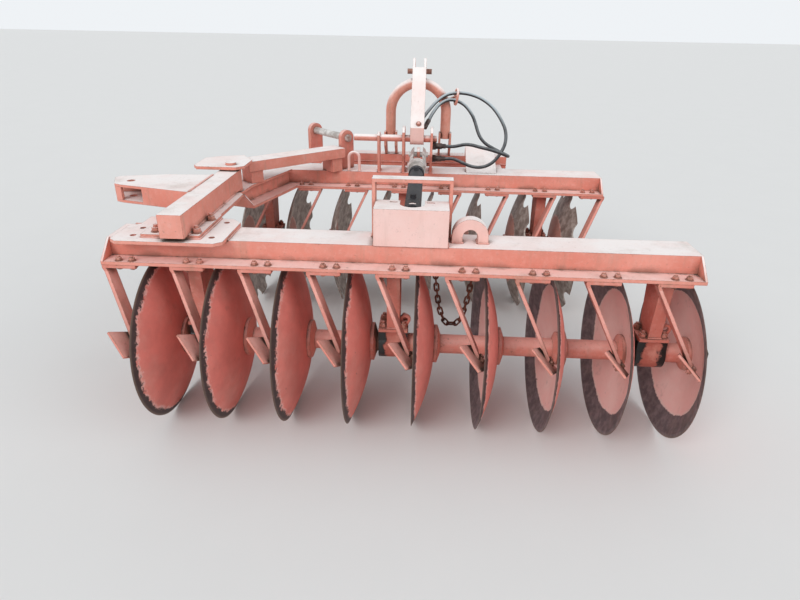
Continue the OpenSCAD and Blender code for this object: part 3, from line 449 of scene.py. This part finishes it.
def worn_disc(name, node, opens_right, blackened, paint, lit_inside_paint, band_more, fleck,
              bare_dark, bare_light):
    """Disc steel for one gang, its middle painted and its rim bare. The dish opens left or
    right, and its hollow side has the wide bare band; the round back is blackened."""
    low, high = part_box(node)
    middle = [(a + b) / 2 for a, b in zip(low, high)]
    finish = Finish(name)
    dy = finish.axis("Object", "Y") - middle[1]
    dz = finish.axis("Object", "Z") - middle[2]
    radius = (dy * dy + dz * dz) ** 0.5
    back = finish.axis("Normal", "X").between(-0.1, 0.1)
    if opens_right:
        back = 1.0 - back
    band = inner_band + band_more + back * (outer_band - inner_band)
    ragged = finish.noise(22.0, 8.0, 0.72)
    lobes = finish.noise(4.0, 2.0, at=(2, 2, 2))
    teeth = finish.noise(120.0, 5.0, 0.75, at=(6, 6, 2))
    bite = (teeth - 0.5) * (0.014 + back * 0.026) + (ragged - 0.5) * (0.016 + back * 0.026)
    inwards = disc_radius - radius + bite + (lobes - 0.5) * (0.030 - back * 0.012)
    depth = inwards - band
    bare = 1.0 - depth.between(0.0, 0.004)
    flecks = (finish.noise(42.0, 9.0, 0.7, at=(4, 4, 1)) + fleck).between(0.655, 0.68)
    flecks = flecks * (1.0 - depth.between(0.01, 0.10) * 0.80)
    bare = bare.most(flecks)
    cloud = finish.noise(9.0, 5.0, 0.6).between(0.3, 0.75)
    grain = finish.noise(150.0, 4.0, 0.7)
    # The hollow side's paint is far paler than the round back's: painted light on the face the
    # lamps reach.
    inside = finish.mix(cloud, lit_inside_paint, tuple(min(0.98, c * 1.15) for c in lit_inside_paint))
    painted = finish.mix(cloud, paint, tuple(c * 1.25 for c in paint))
    painted = finish.mix(back, inside, painted)
    dust = finish.noise(5.0, 6.0, 0.7, at=(5, 0, 0)).between(0.42, 0.75)
    painted = finish.mix(dust * 0.35, painted, disc_dust)
    rim_paint = (1.0 - depth.between(0.003, 0.014)) * finish.noise(30.0, 5.0).between(0.35, 0.55)
    painted = finish.mix(rim_paint * (0.8 - back * 0.3), painted, chalky_edge)
    smear = finish.noise(12.0, 6.0, 0.7, at=(8, 3, 6)).between(0.58, 0.75)
    painted = finish.mix(smear * 0.35, painted, disc_smear)
    scoured = finish.noise(30.0, 6.0, 0.65).between(0.35, 0.7)
    steel = finish.mix(scoured, bare_dark, bare_light)
    muddy = finish.noise(6.0, 5.0, 0.7, at=(1, 4, 8)).between(0.5, 0.7) * (1.0 - back)
    steel = finish.mix(muddy * 0.4, steel, dried_mud)
    steel = finish.mix(back * blackened, steel, black_rust)
    # A lighter line along the very rim: partly scoured steel, partly a painted highlight.
    rim_scour_highlight = 1.0 - (disc_radius - radius).between(0.001, 0.010)
    steel = finish.mix(rim_scour_highlight * 0.65, steel, scoured_edge_highlight)
    colour = finish.mix(bare, painted, steel)
    rough = 0.62 - bare * 0.10 + grain * 0.15
    height = (1.0 - bare) * 0.35 + grain * 0.3 + ragged * 0.2
    return finish.close(colour, rough, bare * 0.25, height, depth=0.0006, bevel=0.0015)


plain_disc = worn_disc(
    "worn_disc", "rear_discs", opens_right=False, blackened=0.88,
    paint=(0.64, 0.175, 0.142), lit_inside_paint=(0.98, 0.58, 0.53), band_more=0.0, fleck=0.0,
    bare_dark=(0.13, 0.102, 0.108), bare_light=(0.27, 0.208, 0.215),
)
notched_disc = worn_disc(
    "rusty_disc", "front_discs", opens_right=True, blackened=0.25,
    paint=(0.42, 0.20, 0.16), lit_inside_paint=(0.58, 0.29, 0.235), band_more=0.10, fleck=0.06,
    bare_dark=(0.28, 0.22, 0.19), bare_light=(0.62, 0.55, 0.49),
)
dress(plain_disc, "rear_discs")
dress(notched_disc, "front_discs")


# Shafts, housings and pins
# Shafts, rod and pins are turned steel, greased and bare, and bright only where they slide.
# The barrel, the cast bearing housings and the hitch brackets are painted, and grease seeps
# out black at the housings' ends.
disc_pitch = 0.230
rear_rims = [-0.920 + disc_pitch * i for i in range(9)]
front_rims = [0.753 - disc_pitch * i for i in range(8)]
column_from_rim = 0.1538
rear_columns = [rear_rims[k] + column_from_rim for k in (0, 3, 7)]
front_columns = [front_rims[k] - column_from_rim for k in (0, 3, 6)]
housing_half = 0.052
grease_reach = 0.050
mast_x = -0.030
bracket_out = 0.420
bracket_paint = (0.56, 0.15, 0.105)
bracket_faded = (0.76, 0.33, 0.26)
pin_dark = (0.16, 0.12, 0.10)
pin_worn = (0.46, 0.42, 0.38)
housing_paint = (0.50, 0.13, 0.09)
housing_faded = (0.64, 0.26, 0.20)
grease_black = (0.014, 0.011, 0.010)


def bare_metal(name, dark, light, rough, metallic):
    """Steel between a dark and a light tone, with a fine grain and stains of rust."""
    finish = Finish(name)
    blotch = finish.noise(22.0, 7.0, 0.68).between(0.35, 0.68)
    grain = finish.noise(200.0, 3.0, 0.6)
    colour = finish.mix(blotch, dark, light)
    stain = finish.noise(34.0, 8.0, 0.7, at=(3, 3, 3)).between(0.60, 0.68)
    colour = finish.mix(stain * 0.6, colour, rust_light)
    rough = rough + blotch * 0.18 + grain * 0.1
    height = blotch * 0.5 + grain * 0.5
    return finish.close(colour, rough, metallic, height, depth=0.0005, bevel=0.001)


greasy = bare_metal("greasy_steel", dark=(0.018, 0.014, 0.012), light=(0.085, 0.055, 0.04),
                    rough=0.42, metallic=0.25)
slid_steel = bare_metal("slid_steel", dark=(0.42, 0.38, 0.35), light=(0.82, 0.80, 0.77),
                        rough=0.34, metallic=0.45)
barrel_paint = bare_metal("barrel_paint", dark=(0.010, 0.010, 0.012), light=(0.03, 0.030, 0.036),
                          rough=0.52, metallic=0.0)
rusty_pin = bare_metal("rusty_pin", dark=(0.16, 0.07, 0.05), light=(0.44, 0.24, 0.18),
                       rough=0.6, metallic=0.1)
dress(greasy, "rear_shaft", "front_shaft")
dress(rusty_pin, "top_link_pin")
dress(slid_steel, "slide_pin", "rod")
dress(barrel_paint, "barrel")


def greased_housing(name, ends):
    """Painted casting, black in clots and where grease is pressed out near those ends."""
    finish = Finish(name)
    along = finish.axis("Object", "X")
    gaps = [along - end for end in ends]
    near = [1.0 - (gap * gap) ** 0.5 / grease_reach for gap in gaps]
    seeping = near[0].most(0.0)
    for close_by in near[1:]:
        seeping = seeping.most(close_by)
    grain = finish.noise(120.0, 4.0, 0.7)
    worn = finish.noise(18.0, 6.0, 0.7).between(0.4, 0.7)
    paint = finish.mix(worn, housing_paint, housing_faded)
    clot = finish.noise(13.0, 6.0, 0.7, at=(2, 9, 4)) * 0.8 + finish.corners(0.05) * 0.2
    grease = (clot + seeping * 0.42).between(0.56, 0.62)
    colour = finish.mix(grease, paint, grease_black)
    height = grease * 0.8 + grain * 0.2
    return finish.close(colour, 0.62 - grease * 0.30, 0.0, height, depth=0.002, bevel=0.002)


def bracket_and_pin():
    """Painted hitch brackets, and worn bare steel on the pins that stand out from them."""
    finish = Finish("hitch_bracket")
    across = finish.axis("Object", "X") - (plan_origin.x + mast_x)
    pin = ((across * across) ** 0.5).between(bracket_out, bracket_out + 0.001)
    worn = finish.noise(14.0, 6.0, 0.7).between(0.35, 0.7)
    grain = finish.noise(150.0, 4.0, 0.7)
    paint = finish.mix(worn, bracket_paint, bracket_faded)
    flake = finish.noise(34.0, 9.0, 0.74, at=(1, 5, 3))
    wear = flake + finish.edges(edge_reach) * 0.16 + 0.03
    paint = finish.mix(wear.between(0.70, 0.73), paint, rust_dark)
    colour = finish.mix(pin, paint, finish.mix(worn, pin_dark, pin_worn))
    return finish.close(colour, 0.66 - pin * 0.22, pin * 0.4, grain, depth=0.0004, bevel=0.002)


dress(bracket_and_pin(), "lower_hitch_pins")
for node, columns in (("rear_bearings", rear_columns), ("front_bearings", front_columns)):
    ends = [plan_origin.x + x + s * housing_half for x in columns for s in (-1, 1)]
    dress(greased_housing(node + "_finish", ends), node)


# Bolts
# Hexagon bolts with washers hold the scraper arms and their blades, the side tube's foot,
# the bearing housings and the mast strap. They were painted with the frame.
front_shaft_y = 1.057
flange_top = 0.637
arm_underside = 0.613
washer_t = 0.0025
washer_share = 1.45
chamfer_share = 0.18
chamfer_round = (0.50, 0.40)
stud_round = 0.30
stud_least = 0.002


def node_tree(name, inputs):
    """A tree that takes a mesh and the named inputs, and gives a mesh."""
    tree = bpy.data.node_groups.new(name, "GeometryNodeTree")
    sockets = {"Geometry": ("NodeSocketGeometry", None), **inputs}
    for title, (kind, value) in sockets.items():
        socket = tree.interface.new_socket(title, in_out="INPUT", socket_type=kind)
        if value is not None:
            socket.default_value = value
    tree.interface.new_socket("Geometry", in_out="OUTPUT", socket_type="NodeSocketGeometry")
    return tree


def close_tree(tree, shape, material):
    """Ends a tree: its instances made real, and its material set."""
    real = add_node(tree, "GeometryNodeRealizeInstances", {}, {0: shape})
    coated = add_node(
        tree, "GeometryNodeSetMaterial", {}, {0: real.outputs[0], "Material": material}
    )
    add_node(tree, "NodeGroupOutput", {}, {0: coated.outputs[0]})


def tree_math(tree, operation, first, second=0.0, third=0.0):
    """The result of one Math node on numbers or sockets."""
    node = add_node(
        tree, "ShaderNodeMath", {"operation": operation}, {0: first, 1: second, 2: third}
    )
    return node.outputs[0]


def grown(name, tree, values, points, edges=(), ways=()):
    """What the tree makes of those points, as a plain mesh."""
    seed = bpy.data.meshes.new(name + "_points")
    seed.from_pydata([plan_origin + Vector(p) for p in points], edges, [])
    if ways:
        attribute = seed.attributes.new("way", "FLOAT_VECTOR", "POINT")
        for slot, way in zip(attribute.data, ways):
            slot.vector = way
    made = mesh_object(name, seed)
    modifier = made.modifiers.new("grow", "NODES")
    modifier.node_group = tree
    for item in tree.interface.items_tree:
        if item.in_out == "INPUT" and item.name in values:
            modifier[item.identifier] = values[item.name]
    graph = bpy.context.evaluated_depsgraph_get()
    mesh = bpy.data.meshes.new_from_object(made.evaluated_get(graph))
    made.modifiers.remove(modifier)
    made.data = mesh
    return made


bolt_tree = node_tree("hexagon_bolts", {
    "Across": ("NodeSocketFloat", 0.019), "Head": ("NodeSocketFloat", 0.008),
    "Stud": ("NodeSocketFloat", 0.0), "Washer": ("NodeSocketFloat", 0.028),
    "Material": ("NodeSocketMaterial", None),
})
bolt_in = add_node(bolt_tree, "NodeGroupInput", {}, {}).outputs


def raised(tree, mesh, height):
    """The mesh lifted by a height along Z."""
    shift = add_node(tree, "ShaderNodeCombineXYZ", {}, {"Z": height})
    moved = add_node(
        tree, "GeometryNodeTransform", {}, {"Geometry": mesh, "Translation": shift.outputs[0]}
    )
    return moved.outputs[0]


def across_share(share):
    """That share of the bolt's size across flats."""
    return tree_math(bolt_tree, "MULTIPLY", bolt_in["Across"], share)


washer = add_node(
    bolt_tree, "GeometryNodeMeshCylinder", {},
    {"Vertices": 20, "Radius": tree_math(bolt_tree, "MULTIPLY", bolt_in["Washer"], 0.5),
     "Depth": washer_t},
)
head = add_node(
    bolt_tree, "GeometryNodeMeshCylinder", {},
    {"Vertices": 6, "Radius": across_share(0.5 / math.cos(math.pi / 6)),
     "Depth": bolt_in["Head"]},
)
chamfer = add_node(
    bolt_tree, "GeometryNodeMeshCone", {},
    {"Vertices": 16, "Radius Top": across_share(chamfer_round[1]),
     "Radius Bottom": across_share(chamfer_round[0]),
     "Depth": tree_math(bolt_tree, "MULTIPLY", bolt_in["Head"], chamfer_share)},
)
stud_length = tree_math(bolt_tree, "ADD", bolt_in["Stud"], stud_least)
stud = add_node(
    bolt_tree, "GeometryNodeMeshCylinder", {},
    {"Vertices": 12, "Radius": across_share(stud_round), "Depth": stud_length},
)
head_mid = tree_math(bolt_tree, "MULTIPLY_ADD", bolt_in["Head"], 0.5, washer_t)
head_top = tree_math(bolt_tree, "ADD", bolt_in["Head"], washer_t)
stud_mid = tree_math(bolt_tree, "MULTIPLY_ADD", stud_length, 0.5, head_top)
bolt = add_node(bolt_tree, "GeometryNodeJoinGeometry", {}, {})
for part in (
    raised(bolt_tree, washer.outputs[0], washer_t / 2),
    raised(bolt_tree, head.outputs[0], head_mid),
    raised(bolt_tree, chamfer.outputs[0], head_top),
    raised(bolt_tree, stud.outputs[0], stud_mid),
):
    bolt_tree.links.new(part, bolt.inputs[0])
way = add_node(
    bolt_tree, "GeometryNodeInputNamedAttribute", {"data_type": "FLOAT_VECTOR"}, {"Name": "way"}
)
upright = add_node(
    bolt_tree, "FunctionNodeAlignRotationToVector", {"axis": "Z"}, {"Vector": way.outputs[0]}
)
angle = add_node(
    bolt_tree, "FunctionNodeRandomValue", {"data_type": "FLOAT"}, {2: 0.0, 3: 6.28, "Seed": 4}
)
turn = add_node(bolt_tree, "ShaderNodeCombineXYZ", {}, {"Z": angle.outputs[1]})
turn = add_node(bolt_tree, "FunctionNodeEulerToRotation", {}, {0: turn.outputs[0]})
aimed = add_node(
    bolt_tree, "FunctionNodeRotateRotation", {"rotation_space": "LOCAL"},
    {0: upright.outputs[0], 1: turn.outputs[0]},
)
placed = add_node(
    bolt_tree, "GeometryNodeInstanceOnPoints", {},
    {"Points": bolt_in["Geometry"], "Instance": bolt.outputs[0], "Rotation": aimed.outputs[0]},
)
close_tree(bolt_tree, placed.outputs[0], bolt_in["Material"])
bolt_paint = faded_and_lit_paint("bolt_paint", fade_and_light=0.15, chips=0.080, orange=(0.50, 0.165, 0.115),
                         dirt_and_shade=1.4)


def bolts(name, body, places, across=0.0175, head=0.007, stud=0.0):
    """Bolts of one size on one body: each place is a point and the way its head looks."""
    piece = grown(
        name, bolt_tree,
        {"Across": across, "Head": head, "Stud": stud, "Washer": across * washer_share,
         "Material": bolt_paint},
        [place for place, way in places], ways=[way for place, way in places],
    )
    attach(piece, body)


up = (0, 0, 1)
down = (0, 0, -1)
arm_from_rim = 0.056
arm_bolt_off = 0.0225
rear_arm_y = -0.107
front_arm_y = front_shaft_y - 0.095
rear_feet = [x - arm_from_rim + s * arm_bolt_off for x in rear_rims for s in (-1, 1)]
front_feet = [x + arm_from_rim + s * arm_bolt_off for x in front_rims for s in (-1, 1)]
bolts("rear_scraper_nuts", "rear_frame",
      [((x, rear_arm_y, flange_top), up) for x in rear_feet], head=0.008, stud=0.004)
bolts("rear_scraper_bolts", "rear_frame",
      [((x, rear_arm_y, arm_underside), down) for x in rear_feet], head=0.003)
bolts("front_scraper_nuts", "front_frame",
      [((x, front_arm_y, flange_top), up) for x in front_feet], head=0.008, stud=0.004)
bolts("front_scraper_bolts", "front_frame",
      [((x, front_arm_y, arm_underside), down) for x in front_feet], head=0.003)

foot_plate_top = 0.724
foot_bolts_x = (-0.881, -0.742)
foot_bolts_y = (-0.050, 0.092)
bolts("foot_plate_bolts", "rear_frame",
      [((x, y, foot_plate_top), up) for x in foot_bolts_x for y in foot_bolts_y],
      across=0.024, head=0.012, stud=0.008)

housing_plate_top = 0.384
housing_reach = (0.036, 0.034)
for name, body, columns, shaft_y in (
    ("rear_housing_bolts", "rear_frame", rear_columns, 0.0),
    ("front_housing_bolts", "front_frame", front_columns, front_shaft_y),
):
    bolts(name, body,
          [((x + s * housing_reach[0], shaft_y + t * housing_reach[1], housing_plate_top), up)
           for x in columns for s in (-1, 1) for t in (-1, 1)],
          across=0.022, head=0.012, stud=0.006)

strap_hole = (-0.024, 0.993, 0.937)
strap_slope = (0.0, -0.825, 0.567)
bolts("strap_bolt", "front_frame", [(strap_hole, strap_slope)], across=0.017, head=0.010)

blade_lean = math.radians(43.6)
blade_face = (math.cos(blade_lean), 0.0, math.sin(blade_lean))
blade_top = (-0.0246, 0.388)
hole_down = 0.030
blade_hole = (blade_top[0] + hole_down * math.sin(blade_lean),
              blade_top[1] - hole_down * math.cos(blade_lean))
blade_bolts_y = (-0.214, -0.190)
blade_back = 0.008
for name, body, rims, side, shaft_y in (
    ("rear_blade_bolts", "rear_frame", rear_rims, 1, 0.0),
    ("front_blade_bolts", "front_frame", front_rims, -1, front_shaft_y),
):
    ahead = (side * blade_face[0], 0.0, blade_face[2])
    behind = (-side * blade_face[0], 0.0, -blade_face[2])
    back_x = blade_hole[0] - blade_back * blade_face[0]
    back_z = blade_hole[1] - blade_back * blade_face[2]
    bolts(name, body,
          [((x + side * blade_hole[0], shaft_y + y, blade_hole[1]), ahead)
           for x in rims for y in blade_bolts_y],
          across=0.016, head=0.006)
    bolts(name.replace("bolts", "nuts"), body,
          [((x + side * back_x, shaft_y + y, back_z), behind)
           for x in rims for y in blade_bolts_y],
          across=0.016, head=0.008, stud=0.004)


# Welds
# Every joint of the frame is arc welded: a rippled bead about 9 mm wide runs along the
# foot of each plate, painted over with the rest and rusting where the paint broke.
weld_width = 0.009
ripple = 0.0045
steps_per_ripple = 3
ripple_swell = 0.12
bead_least = 0.60
bead_unsteady = 0.75

weld_tree = node_tree("weld_bead", {
    "Width": ("NodeSocketFloat", weld_width), "Ripple": ("NodeSocketFloat", ripple),
    "Material": ("NodeSocketMaterial", None),
})
weld_in = add_node(weld_tree, "NodeGroupInput", {}, {}).outputs
line = add_node(weld_tree, "GeometryNodeMeshToCurve", {}, {0: weld_in["Geometry"]})
step = tree_math(weld_tree, "MULTIPLY", weld_in["Ripple"], 1 / steps_per_ripple)
seam = add_node(
    weld_tree, "GeometryNodeResampleCurve", {"mode": "LENGTH"}, {0: line.outputs[0], "Length": step}
)
along = add_node(weld_tree, "GeometryNodeSplineParameter", {}, {})
ripples = tree_math(weld_tree, "DIVIDE", along.outputs["Length"], weld_in["Ripple"])
wave = tree_math(weld_tree, "SINE", tree_math(weld_tree, "MULTIPLY", ripples, 2 * math.pi))
swell = tree_math(weld_tree, "MULTIPLY_ADD", wave, ripple_swell, bead_least)
unsteady = add_node(weld_tree, "ShaderNodeTexNoise", {}, {"Scale": 60.0, "Detail": 2.0})
swell = tree_math(weld_tree, "MULTIPLY_ADD", unsteady.outputs[0], bead_unsteady, swell)
outline = add_node(
    weld_tree, "GeometryNodeCurvePrimitiveCircle", {},
    {"Resolution": 8, "Radius": tree_math(weld_tree, "MULTIPLY", weld_in["Width"], 0.5)},
)
bead = add_node(
    weld_tree, "GeometryNodeCurveToMesh", {},
    {0: seam.outputs[0], 1: outline.outputs[0], "Scale": swell, "Fill Caps": True},
)
close_tree(weld_tree, bead.outputs[0], weld_in["Material"])


def welds(name, body, seams):
    """Beads along seams on one body: each seam is a line of corner points."""
    points = []
    edges = []
    for corners in seams:
        first = len(points)
        edges += [(first + k, first + k + 1) for k in range(len(corners) - 1)]
        points += corners
    values = {"Width": weld_width, "Ripple": ripple, "Material": low_paint}
    piece = grown(name, weld_tree, values, points, edges)
    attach(piece, body)


def around(x0, x1, y0, y1, z):
    """The seam round the foot of an upright post."""
    return [(x0, y0, z), (x1, y0, z), (x1, y1, z), (x0, y1, z), (x0, y0, z)]


def across_seam(x0, x1, y, z):
    return [(x0, y, z), (x1, y, z)]


def lengthwise_seam(x, y0, y1, z):
    return [(x, y0, z), (x, y1, z)]


beam_top = 0.700
wing_top = 0.712
rear_beam_y = (-0.0545, 0.0905)
column_half = (0.023, 0.046)
column_head_half = (0.023, 0.065)
column_head_z = 0.613
tube_back = -0.083
tube_left = -0.840
tube_right = -0.760
foot_ends = (0.455, 0.430)
fork_y = (0.162, 0.426)
fork_z = (0.804, 0.735)
wing_x = (-1.020, -0.640)
foot_x = (-0.922, -0.722)
foot_front = 0.145
box_x = (-0.146, 0.103)
box_front = 0.052
portal_t = 0.012
portal_y = (0.030, 0.080)
arch_feet_x = (0.117, 0.205)
arch_bar = 0.036
arch_y = (-0.004, 0.040)

rear_seams = []
for x in rear_columns:
    rear_seams.append(around(x - column_half[0], x + column_half[0], -column_half[1],
                             column_half[1], housing_plate_top))
for x in rear_columns:
    rear_seams.append(around(x - column_head_half[0], x + column_head_half[0],
                             -column_head_half[1], column_head_half[1], column_head_z))
rear_seams += [
    lengthwise_seam(tube_left, tube_back, foot_ends[0], foot_plate_top),
    lengthwise_seam(tube_right, tube_back, foot_ends[1], foot_plate_top),
    lengthwise_seam(tube_left, *fork_y, fork_z[0]),
    lengthwise_seam(tube_left, *fork_y, fork_z[1]),
    across_seam(*wing_x, rear_beam_y[0], beam_top),
    [(wing_x[1], rear_beam_y[0], beam_top), (wing_x[1], rear_beam_y[1], beam_top),
     (wing_x[0], rear_beam_y[1], beam_top)],
    [(foot_x[0], tube_back, wing_top), (foot_x[1], tube_back, wing_top),
     (foot_x[1], foot_front, wing_top)],
    lengthwise_seam(foot_x[0], tube_back, foot_front, wing_top),
    lengthwise_seam(box_x[0], box_front, rear_beam_y[0], beam_top),
    lengthwise_seam(box_x[1], box_front, rear_beam_y[0], beam_top),
    around(box_x[0] - portal_t, box_x[0], *portal_y, beam_top),
    around(box_x[1], box_x[1] + portal_t, *portal_y, beam_top),
]
rear_seams += [around(x, x + arch_bar, *arch_y, beam_top) for x in arch_feet_x]
welds("rear_frame_welds", "rear_frame", rear_seams)

front_beam_y = (1.005, 1.1475)
clevis_t = 0.012
clevis_x = (-0.100, 0.035)
clevis_front = 1.120
outer_clevis_x = -0.221
outer_clevis_front = 1.070
tab_x = (-0.027, -0.013)
tab_front = 1.090
hitch_x = (-0.600, 0.440)
hitch_back = 1.250
hitch_arm_x = -0.480
gusset_x = (0.220, 0.370)
gusset_back = 1.062
hoop_feet_x = (-0.169, 0.109)
hoop_plates = (-0.032, -0.022, 0.022, 0.032)
hoop_plate_y = (1.256, 1.320)
hitch_top = 0.720

front_seams = []
for x in front_columns:
    front_seams.append(around(x - column_half[0], x + column_half[0],
                              front_shaft_y - column_half[1], front_shaft_y + column_half[1],
                              housing_plate_top))
front_seams += [around(x, x + clevis_t, front_beam_y[0], clevis_front, beam_top)
                for x in clevis_x]
front_seams += [
    around(outer_clevis_x, outer_clevis_x + clevis_t, front_beam_y[0], outer_clevis_front,
           beam_top),
    lengthwise_seam(tab_x[0], front_beam_y[0], tab_front, beam_top),
    lengthwise_seam(tab_x[1], front_beam_y[0], tab_front, beam_top),
    lengthwise_seam(hitch_arm_x, front_beam_y[1], hitch_back, beam_top),
    across_seam(*hitch_x, hitch_back, beam_top),
    across_seam(*gusset_x, gusset_back, beam_top),
]
front_seams += [lengthwise_seam(foot + plate, *hoop_plate_y, hitch_top)
                for foot in hoop_feet_x for plate in hoop_plates]
welds("front_frame_welds", "front_frame", front_seams)


# Hoses
# Two hydraulic hoses run from the fittings by the right clevis plate, out in a loop over the
# right of the hitch, through the ring on the hoop and down to their couplers by the shaft.
hose_d = 0.016
low_route = [
    (0.110, 1.000, 0.775), (0.150, 1.000, 0.775), (0.195, 1.000, 0.758), (0.240, 0.997, 0.742),
    (0.288, 0.993, 0.740), (0.335, 0.996, 0.759), (0.372, 1.008, 0.798), (0.398, 1.030, 0.850),
    (0.398, 1.060, 0.905), (0.372, 1.090, 0.958), (0.332, 1.120, 1.006), (0.280, 1.148, 1.040),
    (0.222, 1.170, 1.058), (0.165, 1.180, 1.062), (0.110, 1.168, 1.054), (0.064, 1.142, 1.028),
    (0.024, 1.108, 0.988), (-0.012, 1.070, 0.944),
]
high_route = [
    (0.110, 1.000, 0.835), (0.150, 1.000, 0.835), (0.202, 0.981, 0.849), (0.237, 0.968, 0.849),
    (0.269, 0.954, 0.844), (0.321, 0.941, 0.835), (0.373, 0.950, 0.818), (0.407, 0.982, 0.800),
    (0.416, 1.023, 0.792), (0.403, 1.064, 0.793), (0.366, 1.095, 0.805), (0.316, 1.107, 0.830),
    (0.288, 1.113, 0.856), (0.271, 1.126, 0.885), (0.254, 1.145, 0.931), (0.236, 1.152, 0.966),
    (0.200, 1.167, 1.006), (0.155, 1.173, 1.027), (0.113, 1.163, 1.029), (0.073, 1.143, 1.009),
    (0.044, 1.108, 0.976), (0.024, 1.072, 0.944),
]
rubber_black = (0.018, 0.018, 0.021)
rubber_dust_and_sheen = (0.30, 0.33, 0.34)
rubber_sky_reflection = (0.60, 0.69, 0.73)


def hose_finish():
    """Black rubber with a fine woven cover, greyed on top by dust and a painted sheen, and up high
    by a painted reflection of the sky.
    """
    finish = Finish("hose_rubber")
    up = finish.axis("Normal", "Z").between(-0.2, 0.9)
    dust = finish.noise(40.0, 5.0, 0.7).between(0.35, 0.7)
    weave = finish.noise(420.0, 2.0, 0.5)
    # Faces that look up are greyed by dust and a painted sheen, and up high they carry a painted
    # pale blue reflection of the sky.
    colour = finish.mix(up * (0.25 + dust * 0.55), rubber_black, rubber_dust_and_sheen)
    high = finish.axis("Object", "Z").between(0.90, 1.02)
    colour = finish.mix(high * up * 0.75, colour, rubber_sky_reflection)
    return finish.close(colour, 0.40 + dust * 0.25, 0.0, weave, depth=0.0004)


rubber = hose_finish()


def hose(name, route):
    """One hose: a curve through the route's points, ending in its coupler."""
    line = [plan_origin + Vector(p) for p in route]
    curve = bpy.data.curves.new(name, "CURVE")
    curve.dimensions = "3D"
    curve.bevel_depth = hose_d / 2
    curve.bevel_resolution = 6
    curve.resolution_u = 8
    curve.use_fill_caps = True
    spline = curve.splines.new("BEZIER")
    spline.bezier_points.add(len(line) - 1)
    for k, (knot, place) in enumerate(zip(spline.bezier_points, line)):
        before, after = line[max(k - 1, 0)], line[min(k + 1, len(line) - 1)]
        knot.co = place
        knot.handle_left = place - (after - before) / 6
        knot.handle_right = place + (after - before) / 6
    curve.materials.append(rubber)
    piece = bpy.data.objects.new(name, curve)
    bpy.context.scene.collection.objects.link(piece)
    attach(piece, "front_frame")
    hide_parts(name.replace("_rubber", ""))


hose("low_hose_rubber", route=low_route)
hose("high_hose_rubber", route=high_route)
oily = bare_metal("oily_fitting", dark=(0.025, 0.017, 0.016), light=(0.17, 0.12, 0.105),
                  rough=0.36, metallic=0.4)
dress(oily, "hose_fittings", "low_coupler", "high_coupler")


# Chain
# A loop of welded round links hangs under the rear beam from two lugs on the hangers. It was
# never painted, and it has rusted red brown.
chain_rust = bare_metal("chain_rust", dark=(0.075, 0.028, 0.018), light=(0.30, 0.12, 0.075),
                        rough=0.7, metallic=0.1)
dress(chain_rust, "hanging_chain")
